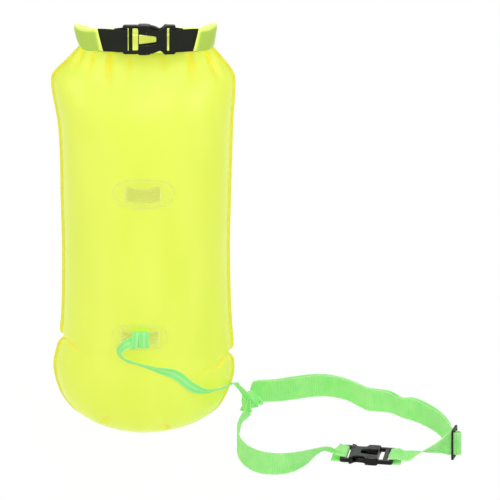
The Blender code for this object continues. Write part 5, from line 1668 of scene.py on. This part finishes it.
@dataclass
class WaistBelt:
    """The waist belt as it is laid down: webbing, buckle, slider and tail."""

    left: float = 0.141
    front: float = -0.170
    loop_width: float = 0.330
    loop_depth: float = 0.276
    lie: float = math.radians(171.5)
    buckle_at: tuple[float, float] = (0.712, 0.192)
    slider_at: tuple[float, float] = (0.985, 0.222)
    slider_turn: float = math.radians(74.0)
    slider_height: float = 0.050
    slider_length: float = 0.026
    slider_thickness: float = 0.003
    slider_slot: float = 0.0064
    slider_side: float = 0.0041
    bulge: float = 0.009
    strap: float = 0.037
    thickness: float = 0.0016
    offset: float = 0.0041
    rise: float = TOUCH
    tail_space: float = 0.0008
    tail_stops: tuple[float, float] = (0.24, 0.955)
    bend_start: float = 0.78  # share of the back run from which it follows the slider
    twist_end: float = 0.40  # share of the run to the plug at which its two pieces meet
    step: float = 0.0020  # between stations of the webbing

    FRONT = (
        (0.412, 0.235, -84, 0, 0.20), (0.390, 0.200, -62, 0, 0.13), (0.364, 0.156, -42, 0, 0.04),
        (0.330, 0.106, -30, 0, 0.00), (0.288, 0.055, -20, 0, 0.00), (0.240, 0.016, -12, 0, 0.00),
        (0.172, 0.000, -6, 0, 0.00), (0.103, 0.022, 0, 0, 0.00), (0.048, 0.087, 0, 0, 0.00),
        (0.015, 0.174, 0, 0, 0.00), (0.000, 0.272, 0, 0, 0.00), (0.000, 0.355, 0, 0, 0.00),
        (0.006, 0.440, 4, 0, 0.00), (0.016, 0.525, 11, 0, 0.00), (0.025, 0.595, 15, 0, 0.00),
        (0.0320, 0.655, 14, 0, 0.00), (0.0340, 0.700, 9, 8, 0.00), (0.0260, 0.738, 0, 36, 0.01),
        (0.0130, 0.772, -12, 56, 0.03), (0.0130, 0.800, -32, 62, 0.06),
        (0.0300, 0.828, -74, 66, 0.06), (0.0460, 0.852, -90, 74, 0.07),
        (0.0545, 0.866, -90, 76, 0.07),
    )
    BACK = (
        (0.0553, 0.8672, -90, 76, 0.07), (0.0590, 0.8790, -86, 70, 0.06),
        (0.0605, 0.8930, -60, 50, 0.03), (0.0630, 0.9060, -22, 24, 0.01),
        (0.0720, 0.9150, -4, 8, 0.00), (0.0890, 0.9190, 4, 2, 0.00), (0.112, 0.920, 6, 0, 0.00),
        (0.175, 0.924, 6, 0, 0.00), (0.250, 0.948, 5, 0, 0.00), (0.335, 0.981, 6, 0, 0.00),
        (0.410, 0.987, 8, 0, 0.00), (0.492, 0.943, 8, 0, 0.00), (0.555, 0.865, 2, 0, 0.00),
        (0.600, 0.812, 2, 0, 0.00), (0.690, 0.778, 10, 0, 0.00), (0.750, 0.706, 14, 0, 0.00),
        (0.795, 0.688, 2, 0, 0.00), (0.845, 0.628, 4, 0, 0.00), (0.900, 0.535, 3, 0, 0.03),
        (0.935, 0.437, 0, 0, 0.08), (0.958, 0.340, 0, 0, 0.14), (0.976, 0.257, 0, 0, 0.17),
    )
    TAIL_GAPS = (0.0, 0.04, 0.10, 0.08, 0.02, 0.0, 0.10, 0.04, 0.10, 0.03, 0.0)
    TO_PLUG = (
        (0.967, 0.204, 0, 0, 0.17), (0.960, 0.2042, 0, 0, 0.17), (0.925, 0.206, -32, 0, 0.12),
        (0.878, 0.210, -52, 0, 0.06), (0.836, 0.214, -66, 0, 0.05), (0.794, 0.214, -80, 0, 0.06),
        (0.757, 0.206, -92, 0, 0.10),
    )

    def spot(self, share_x: Any, share_y: Any) -> tuple[Any, Any]:
        """A place in the loop, on the surface that it lies on."""
        return self.left + share_x * self.loop_width, self.front + share_y * self.loop_depth

    def laid(self, rows: Sequence[Sequence[float]]) -> Ribbon:
        """A strap along rows of its route, each resting on the surface unless it is lifted.

        Args:
            rows: place in the loop, lean, fold and lift.

        Returns:
            The strap.
        """
        dense = curve_through(rows, 10)
        x, y = self.spot(dense[:, 0], dense[:, 1])
        plan = np.stack([x, y, np.zeros(len(x))], axis=-1)
        lean, fold = np.radians(dense[:, 2]), np.radians(dense[:, 3])
        edge = UP * np.cos(lean)[:, None] - left_of(plan) * np.sin(lean)[:, None]
        lift = np.cross(unit(np.gradient(plan, axis=0)), edge)
        half = self.strap / 2
        low = half * (np.cos(fold) * np.abs(np.cos(lean)) - np.sin(fold) * lift[:, 2])
        height = np.maximum(low, 0.0) + self.thickness / 2 * np.abs(np.sin(lean))
        height = height + dense[:, 4] * self.strap + self.rise
        middle = plan + UP * height[:, None]
        return Ribbon(middle, edge * (half * np.cos(fold))[:, None], lift * (half * np.sin(fold))[:, None])

    def buckle_frame(self) -> Matrix:
        """The belt buckle, flat on the surface, its plug half on the right."""
        x, y = self.spot(*self.buckle_at)
        along = (math.cos(self.lie), math.sin(self.lie), 0.0)
        return frame_of((x, y, BuckleSizes().thickness / 2), along, (0.0, 0.0, 1.0))

    def slider_frame(self) -> Matrix:
        """The slider, standing on its long edge."""
        x, y = self.spot(*self.slider_at)
        along = Vector((math.cos(self.slider_turn), math.sin(self.slider_turn), 0.0))
        return frame_of((x, y, self.slider_height / 2), along, along.cross(Vector((0.0, 0.0, 1.0))))

    def in_buckle(self, rows: Sequence[tuple[float, float]], side: float) -> Ribbon:
        """A strap in the buckle's frame, from places along it and out of its face."""
        frame = self.buckle_frame()
        half = frame.to_3x3() @ Vector((0.0, side * self.strap / 2, 0.0))
        return Ribbon.flat([frame @ Vector((x, 0.0, z)) for x, z in rows], half)

    def front_run(self) -> Ribbon:
        """From the sewn end under the socket's bar, round it, and along the front to the tether."""
        s = BuckleSizes()
        wrap = bar_wrap(s.slot_end, -1, self.offset)[::-1]
        under = [(s.length + 0.0140, -self.offset), (s.length, -self.offset)]
        over = [(s.length, self.offset), (s.length + 0.006, self.offset + 0.0031)]
        return self.in_buckle(under + wrap + over, -1.0).then(self.laid(self.FRONT))

    def plug_run(self) -> Ribbon:
        """From the slider, twisting flat, round the plug's outer bar and back under it."""
        s = BuckleSizes()
        over = [(-0.006, self.offset + 0.0012), (0.0, self.offset)]
        under = [(0.0, -self.offset), (-0.012, -self.offset)]
        wrap = bar_wrap(s.outer_bar, 1, self.offset)
        return self.laid(self.TO_PLUG).then(self.in_buckle(over + wrap + under, 1.0))

    def tail_run(self, back: Ribbon) -> Ribbon:
        """The tail, outside the back run and a little off it in places."""
        low, high = (round(share * (len(back.middle) - 1)) for share in self.tail_stops)
        gaps = curve_through([(gap,) for gap in self.TAIL_GAPS], 8)[:, 0]
        shares = np.linspace(0.0, 1.0, high - low + 1)
        gap = np.maximum(np.interp(shares, np.linspace(0.0, 1.0, len(gaps)), gaps), 0.0) * self.strap
        keep = slice(low, high + 1)
        away = left_of(back.middle)[keep] * (self.thickness + self.tail_space + gap)[:, None]
        return Ribbon(back.middle[keep] + away, back.half[keep], back.lift[keep])

    def slider_turn_run(self) -> Ribbon:
        """The turn of webbing round the slider's middle bar."""
        frame = self.slider_frame()
        clear = self.thickness / 2 + self.rise
        reach = self.slider_length / 2 - self.slider_side - self.slider_slot + clear
        inside = -self.slider_thickness / 2 - clear
        end, last = self.laid(self.BACK).middle[-2:][::-1]
        start, after = self.laid(self.TO_PLUG).middle[:2]
        arriving, leaving = unit(end - last), unit(after - start)
        turn = [(reach, inside)]
        for angle in np.linspace(0.0, math.pi, 21):
            out = self.slider_thickness / 2 + self.bulge * max(math.sin(angle), 0.0) ** 0.8
            turn.append((reach * math.cos(angle), out))
        turn.append((-reach, inside))
        route = [end + arriving * self.rise, end + arriving * self.thickness]
        route += [np.array(frame @ Vector((x, 0.0, z))) for x, z in turn]
        route += [start - leaving * self.thickness, start - leaving * self.rise]
        return Ribbon.flat(route, UP * (self.strap / 2))

    def build_slider(self) -> Piece:
        """The three-bar slider, with rounded bars."""
        half_height, half_length = self.slider_height / 2, self.slider_length / 2
        outline = fillet(rectangle(-half_length, half_length, -half_height, half_height), 0.0048, 6)
        slider = plate("three_bar_slider", outline, -self.slider_thickness / 2, self.slider_thickness / 2)
        inner = half_length - self.slider_side
        span = BuckleSizes().slot_span / 2
        for low in (inner - self.slider_slot, -inner):
            shape = fillet(rectangle(low, low + self.slider_slot, -span, span), 0.0016, 4)
            join_or_cut(slider, plate("slot", shape, -BEYOND / 2, BEYOND / 2))
        soften_edges(slider, 0.0009, 3)
        slider.data.transform(self.slider_frame())
        return slider

    def build(self, wardrobe: Wardrobe) -> None:
        """Build and dress the belt."""
        slot = "belt_webbing"
        front = self.front_run().even(self.step).rounded(2).woven("belt_front_webbing", self.thickness)
        wardrobe.dress(front, BELT_WEB, "buoy", slot, "belt_front_run")
        laid = self.laid(self.BACK)
        back = laid.even(self.step).rounded(1).woven("belt_back_webbing", self.thickness)
        wardrobe.dress(back, BELT_WEB, "", slot, "belt_back_run")
        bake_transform(back)
        tail = self.tail_run(laid).even(self.step).rounded(1).woven("belt_tail_webbing", self.thickness)
        wardrobe.dress(tail, BELT_WEB, "", slot, "belt_tail")
        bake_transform(tail)
        turn = self.slider_turn_run().even(0.0014).rounded(2).woven("belt_slider_loop", self.thickness)
        wardrobe.dress(turn, BELT_WEB, "slider", slot, "belt_turn")
        wardrobe.dress(self.build_slider(), ACETAL, "slider", "black_plastic", "belt_slider")
        run = self.plug_run().even(self.step).rounded(2)
        near_slider, near_plug = run.part(0.0, self.twist_end), run.part(self.twist_end, 1.0)
        first = near_slider.woven("belt_twist_webbing", self.thickness)
        wardrobe.dress(first, BELT_WEB, "", slot)
        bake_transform(first)
        second = near_plug.woven("belt_plug_webbing", self.thickness)
        wardrobe.dress(second, BELT_WEB, "", slot, "belt_buckle_run")
        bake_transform(second)
        SideReleaseBuckle(
            "belt",
            self.buckle_frame(),
            ("belt_plug", "belt_front_prong", "belt_back_prong"),
            ("belt_prong_front", "belt_prong_back"),
        ).build(wardrobe)


# Tether


@dataclass
class Tether:
    """The tape from the lower patch to the belt: its hitch, its strap and its end loop."""

    patch: LoopPatch
    belt: WaistBelt
    body: FilmBody
    width: float = 0.015
    thickness: float = 0.0014
    gap: float = TOUCH
    step: float = 0.0018  # between stations
    cup: float = 0.25  # how far the tape curls, in radians to each edge
    hitch_cup: float = 0.30
    stand: float = 0.8  # share of a tilted tape's half width that it stands out by
    ring_wide: float = 0.0088
    ring_back: float = 0.0072
    ring_tall: float = 0.0248
    setback: float = 0.002

    ON_BUOY = (
        (-0.0095, 0.1822, 0.0072), (-0.0165, 0.1812, 0.0098), (-0.0230, 0.1790, 0.0120),
        (-0.0290, 0.1738, 0.0120), (-0.0330, 0.1655, 0.0086), (-0.0335, 0.1570, 0.0052),
        (-0.0295, 0.1495, 0.0034), (-0.0205, 0.1440, 0.0030), (-0.0080, 0.1402, 0.0030),
        (0.0170, 0.1305, 0.0030), (0.0470, 0.1175, 0.0032), (0.0690, 0.0965, 0.0034),
        (0.0870, 0.0865, 0.0034), (0.1060, 0.0845, 0.0040), (0.1240, 0.0835, 0.0052),
    )
    TILTS = (8.0, 16.0, 40.0, 58.0, 52.0, 46.0, 50.0, 46.0, 54.0, 44.0, 0.0, -2.0, 30.0, 44.0, 40.0)
    TO_BELT = (
        ((0.1385, -0.0010, 0.0716), (0.855, -0.50, -0.10)),
        ((0.1480, 0.0195, 0.0520), (0.855, -0.50, -0.10)),
        ((0.1560, 0.0400, 0.0300), (0.855, -0.50, -0.10)),
        ((0.1625, 0.0550, 0.0165), (0.855, -0.50, -0.10)),
        ((0.1670, 0.0620, 0.0090), (0.855, -0.50, -0.10)),
    )

    def loop_frame(self) -> tuple[Array, Array, Array]:
        """Where the end loop goes round the pinched belt: its middle and its two ways."""
        before = np.array([*self.belt.spot(*self.belt.FRONT[-1][:2]), 0.0])
        after = np.array([*self.belt.spot(*self.belt.BACK[0][:2]), 0.0])
        along = unit(after - before)
        across = np.array([along[1], -along[0], 0.0])
        return before - along * self.setback, along, across

    def strap(self) -> Ribbon:
        """The strap's route: tilted on the film where it is seen narrow, and then over the belt."""
        widths: list[Array] = []
        spots, normals = self.body.on_front(*np.array(self.ON_BUOY).T)
        rows = list(spots) + [np.array(point) for point, _ in self.TO_BELT]
        for index in range(len(rows)):
            if index < len(spots):
                way = rows[index + 1] - rows[max(index - 1, 0)]
                heading, tilt = unit(way), math.radians(self.TILTS[index])
                width = unit(np.cross(heading, normals[index]))
                width = width * math.cos(tilt) + np.cross(heading, width) * math.sin(tilt)
                rows[index] = rows[index] + normals[index] * (self.width / 2 * math.sin(tilt) * self.stand)
            else:
                width = unit(np.array(self.TO_BELT[index - len(spots)][1]))
            if widths and width.dot(widths[-1]) < 0:
                width = -width
            widths.append(width)
        line, wide = curve_through(rows, 10), curve_through(widths, 10)
        heading = unit(np.gradient(line, axis=0))
        wide = unit(wide - heading * (wide * heading).sum(axis=1, keepdims=True)) * self.width / 2
        return Ribbon.flat(line, wide)

    def build_turn(self, x: float, wide: float, proud: float, lean: float) -> Piece:
        """One turn of the hitch round the lower bridge, closed behind it.

        Args:
            x: its middle, across the buoy.
            wide: how wide the tape is seen.
            proud: how far it stands off the bridge's face.
            lean: how far its lower end is drawn to the left.

        Returns:
            The turn.
        """
        crown = self.patch.crown_y()
        clear = self.thickness / 2 + self.gap
        tall = self.patch.bridge_tall / 2 + clear
        front = crown - self.patch.bridge_wall / 2 - clear
        back = crown + self.patch.bridge_wall / 2 + clear
        soft = 2 * clear
        corners = (
            (back, tall * 0.1),
            (back, tall - soft),
            (back - soft / 3, tall),
            (front - proud / 2, tall),
            (front - proud, tall - soft),
            (front - proud * 1.6, 0.0),
            (front - proud * 1.3, soft - tall),
            (front - proud / 2, -tall - proud),
            (back - soft / 3, -tall),
            (back, soft - tall),
            (back, -tall * 0.1),
        )
        route = []
        for y, z in corners:
            shift = lean * (0.5 - z / (2 * tall)) if y < crown else 0.0
            route.append((x - shift, y, self.patch.centre_z + z))
        ribbon = Ribbon.flat(route, (wide / 2, 0.0, 0.0)).even(0.0010).rounded(3)
        return ribbon.woven("tether_hitch_turns", self.thickness, 12, self.hitch_cup)

    def build_hitch(self) -> Piece:
        """The hitch: a full turn on the right, and a narrower one that the strap leaves from."""
        right = self.build_turn(self.patch.centre_x + 0.0068, self.width, 0.0014, 0.0)
        left = self.build_turn(self.patch.centre_x - 0.0058, self.width * 0.66, 0.0022, 0.0016)
        return joined([right, left])

    def build_ring(self) -> Piece:
        """The end loop round the pinched belt."""
        middle, along, across = self.loop_frame()
        base = self.thickness / 2
        wide, back, tall = self.ring_wide, self.ring_back, self.ring_tall
        ring = (
            (-back * 0.35, tall, 0.10),
            (wide * 0.40, tall * 0.97, 0.25),
            (wide * 0.82, tall * 0.77, 0.60),
            (wide * 1.00, tall * 0.42, 0.66),
            (wide * 0.92, base * 3.4, 0.60),
            (wide * 0.40, base * 1.7, 0.20),
            (-back * 0.75, base * 2.2, 0.00),
            (-back, tall * 0.35, 0.00),
            (-back * 0.98, tall * 0.70, 0.00),
            (-back * 0.80, tall * 0.88, 0.00),
        )
        side, height, turn = curve_through(ring, 8).T[..., None]
        half = unit(along * np.sqrt(np.maximum(1 - turn**2, 0.0)) + across * turn) * (self.width / 2)
        route = middle + across * side + UP * height
        return Ribbon.flat(route, half).even(0.0012).woven("tether_end_ring", self.thickness)

    def build(self, wardrobe: Wardrobe) -> None:
        """Build and dress the tether, and log its free length."""
        strap = self.strap().even(self.step)
        piece, line = strap.woven("tether_tape", self.thickness, 8, self.cup), strap.middle
        wardrobe.dress(piece, TETHER_WEB, "buoy", "tether_webbing", "tether_webbing")
        piece.visible_diffuse = False  # its green light on the film is lost in the white surround
        hitch, ring = self.build_hitch(), self.build_ring()
        wardrobe.dress(hitch, TETHER_WEB, "buoy", "tether_webbing", "tether_hitch")
        wardrobe.dress(ring, TETHER_WEB, "buoy", "tether_webbing", "tether_end_loop")
        length = strap.length()
        LOG.info("tether free length %.4f m", length)


# Valves


@dataclass
class OralValve:
    """An inflation valve on the back: flange and stem, flap inside, plug on a leash."""

    name: str
    side: int
    body: FilmBody
    height: float = 0.500
    spacing: float = 0.110
    flange: float = 0.020
    flange_wall: float = 0.0014
    stem: float = 0.008
    bore: float = 0.0046
    rise: float = 0.012
    drop: float = 0.009
    cap: float = 0.0095
    cap_wall: float = 0.003
    shaft: float = 0.0043
    shaft_length: float = 0.009
    leash: float = 0.006
    leash_wall: float = 0.0010

    def frame(self) -> tuple[Matrix, float]:
        """The valve's frame, and how far out its flange is seated."""
        x = self.side * self.spacing / 2
        to_back = np.array([1.0, -1.0, 1.0])
        middle, out = (Vector(found * to_back) for found in self.body.on_front(x, self.height, 0.0))
        turned = out.to_track_quat("Z", "Y").to_matrix().to_4x4()
        return Matrix.Translation(middle) @ turned, 0.0006 + self.flange**2 / (4 * self.body.half_width)

    def build(self, wardrobe: Wardrobe) -> None:
        """Build and dress the valve."""
        frame, seat = self.frame()
        top = seat + self.flange_wall
        stem_top = top + self.rise
        lip = 0.0004
        profile = [
            (self.bore, stem_top - lip),
            (self.bore + lip, stem_top),
            (self.stem - lip, stem_top),
            (self.stem, stem_top - lip),
            (self.stem, stem_top - 0.0026),
            (self.stem - 0.0006, stem_top - 0.0032),
            (self.stem - 0.0006, top + 0.0030),
            (self.stem, top + 0.0012),
            (self.stem + 0.0020, top),
            (self.flange - 0.0040, top),
            (self.flange - 0.0034, top + 0.0004),
            (self.flange - 0.0012, top + 0.0004),
            (self.flange, top - TOUCH),
            (self.flange, seat),
            (self.stem, seat),
            (self.stem, -self.drop),
            (self.bore, -self.drop),
            (self.bore, stem_top - lip),
        ]
        body = lathe(f"valve_stem_{self.name}", profile)
        flap_top, wide, wall = -self.drop - TOUCH, 0.0066, 0.0006
        rounded = (wide + 0.0002, flap_top - wall / 2)
        rings = [(0.0, flap_top), (wide, flap_top), rounded]
        rings += [(wide, flap_top - wall), (0.0, flap_top - wall)]
        flap = lathe(f"valve_disc_{self.name}", rings, 24)
        low = stem_top + TOUCH
        high = low + self.cap_wall
        plug = lathe(
            f"valve_cap_{self.name}",
            [
                (0.0, high - 0.0005),
                (0.0048, high - 0.0004),
                (0.0060, high),
                (self.cap - 0.0010, high),
                (self.cap, high - 0.0010),
                (self.cap, low + 0.0004),
                (self.cap - 0.0004, low),
                (self.shaft, low),
                (self.shaft, low - 0.0035),
                (self.shaft - 0.0004, low - 0.0040),
                (self.shaft, low - 0.0045),
                (self.shaft, low - self.shaft_length + 0.0006),
                (self.shaft - 0.0006, low - self.shaft_length),
                (0.0, low - self.shaft_length),
            ],
        )
        seat_up = top + TOUCH + self.leash_wall / 2
        side_out = self.cap + TOUCH + self.leash_wall / 2
        shares = ((0.74, 0.00), (0.84, 0.00), (0.95, 0.20), (0.96, 0.75), (0.74, 1.06))
        rows = [(self.flange * out, seat_up + self.rise * up) for out, up in shares]
        rows.append((side_out, low + self.cap_wall * 0.3))
        route = [(0.0, out, height) for out, height in curve_through(rows, 6)]
        leash = Ribbon.flat(route, (self.leash / 2, 0.0, 0.0))
        leash_piece = leash.even(0.0010).woven(f"valve_strap_{self.name}", self.leash_wall, 4)
        plans = (
            (body, "buoy", f"valve_body_{self.name}"),
            (flap, "buoy", f"valve_flap_{self.name}"),
            (plug, f"{self.name}_valve_plug", f"valve_plug_{self.name}"),
            (leash_piece, "", f"valve_leash_{self.name}"),
        )
        for piece, rider, node in plans:
            piece.data.transform(frame)
            wardrobe.dress(piece, VALVE_VINYL, rider, "clear_vinyl", node)
        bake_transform(leash_piece)


# Studio


@dataclass
class Studio:
    """A plain pale floor, soft light from both sides, and the camera at the photograph's angle."""

    target: tuple[float, float, float] = (0.1595, 0.0, 0.293)
    elevation: float = math.radians(25.0)
    view_width: float = 0.75
    lens: float = 1500.0
    ambient: float = 0.50
    sensor: float = 36.0
    far: float = 80.0
    floor_size: float = 14.0
    floor_glow: float = 1.012
    floor_share: float = 0.965  # of the glow against the shaded board
    lamp_distance: float = 2.2

    # each lamp: degrees to the right of the camera's side and up, width and height, watts
    LAMPS = {
        "soft_left": (-52.0, 22.0, (0.5, 1.6), 4.5),
        "soft_right": (38.0, 25.0, (0.5, 1.6), 7.0),
        "soft_front": (-4.0, 29.0, (1.4, 1.0), 3.8),
        "soft_top": (0.0, 62.0, (1.2, 0.8), 3.4),
        "soft_back": (180.0, 35.0, (1.4, 1.4), 8.0),
    }

    def place(self, name: str, data: Any, where: Vector, turn: Any) -> Piece:
        """Put a camera or a lamp in the scene."""
        made = bpy.data.objects.new(name, data)
        bpy.context.scene.collection.objects.link(made)
        made.location, made.rotation_euler = where, turn
        return made

    def camera(self) -> None:
        """Put the camera in front, looking down at the photograph's angle."""
        away = Vector((0.0, -math.cos(self.elevation), math.sin(self.elevation)))
        data = bpy.data.cameras.new("camera")
        data.lens, data.sensor_width, data.clip_end = self.lens, self.sensor, self.far
        where = Vector(self.target) + away * (self.view_width * self.lens / self.sensor)
        turn = (math.pi / 2 - self.elevation, 0.0, 0.0)
        bpy.context.scene.camera = self.place("camera", data, where, turn)

    def lamp(
        self, name: str, azimuth: float, elevation: float, size: tuple[float, float], power: float
    ) -> None:
        """A large soft lamp that points at the buoy.

        Args:
            name: the lamp's name.
            azimuth: degrees to the right of the camera's side.
            elevation: degrees up.
            size: width and height.
            power: in watts.
        """
        data = bpy.data.lights.new(name, "AREA")
        data.shape = "RECTANGLE"
        data.size, data.size_y = size
        data.energy = power
        turn, up = math.radians(azimuth), math.radians(elevation)
        away = Vector((math.sin(turn) * math.cos(up), -math.cos(turn) * math.cos(up), math.sin(up)))
        where = Vector((0.1, 0.0, 0.32)) + away * self.lamp_distance
        self.place(name, data, where, (-away).to_track_quat("-Z", "Y").to_euler())

    def white_for_eye(self, tree: Tree) -> Socket:
        """One where the camera, a mirror or clear plastic looks, and nought for the light itself."""
        seen = 0.0
        for ray in ("Is Camera Ray", "Is Glossy Ray", "Is Transmission Ray"):
            either = {0: seen, 1: add_node(tree, "LightPath", ray, {})}
            seen = add_node(tree, "Math", 0, either, operation="MAXIMUM")
        return seen

    def world(self) -> None:
        """A white surround: full strength to the eye, and a plain level as light."""
        made = bpy.data.worlds.new("studio")
        bpy.context.scene.world = made
        made.use_nodes = True
        tree = made.node_tree
        levels = {0: self.white_for_eye(tree), 1: 0.0, 2: 1.0, 3: self.ambient, 4: 1.0}
        level = add_node(tree, "MapRange", 0, levels)
        put(tree, tree.nodes["Background"], {"Color": (1.0, 1.0, 1.0, 1.0), "Strength": level})

    def floor(self) -> None:
        """A pale floor that shows white to the eye and keeps a faint shadow."""
        deselect()
        bpy.ops.mesh.primitive_plane_add(size=self.floor_size, location=(0.1, 0.0, -0.0002))
        floor = bpy.context.active_object
        floor.name = "floor"
        made, tree, shader = new_material("matt_white_board")
        put(tree, shader, {"Base Color": Hue.FLOOR, "Roughness": 0.9, "Specular IOR Level": 0.0})
        glow = add_node(tree, "Emission", 0, {"Strength": self.floor_glow})
        glowing = {0: self.white_for_eye(tree), 1: self.floor_share}
        share = add_node(tree, "Math", 0, glowing, operation="MULTIPLY")
        both = add_node(tree, "MixShader", 0, {0: share, 1: shader.outputs[0], 2: glow})
        put(tree, tree.nodes["Material Output"], {"Surface": both})
        floor.data.materials.append(made)

    def build(self) -> None:
        """Set up the camera, the light and the floor."""
        bpy.context.scene.view_settings.view_transform = "Standard"
        self.camera()
        self.world()
        self.floor()
        for name, plan in self.LAMPS.items():
            self.lamp(name, *plan)


def main() -> None:
    """Build the studio and the buoy, piece by piece."""
    logging.basicConfig(level=logging.INFO, format="%(name)s %(message)s")
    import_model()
    Studio().build()
    wardrobe = Wardrobe()
    body = FilmBody()
    belt = WaistBelt()
    lower = LoopPatch("lower", -0.006, 0.1832, 0.088, 0.048, 0.056, 0.023, body)
    Tether(lower, belt, body).build(wardrobe)
    body.build(wardrobe)
    RolledMouth(body).build(wardrobe)
    Closure().build(wardrobe)
    LoopPatch("centre", 0.0, 0.423, 0.096, 0.052, 0.051, 0.025, body).build(wardrobe)
    lower.build(wardrobe)
    belt.build(wardrobe)
    for name, side in (("left", -1), ("right", 1)):
        OralValve(name, side, body).build(wardrobe)


if __name__ == "__main__":
    main()
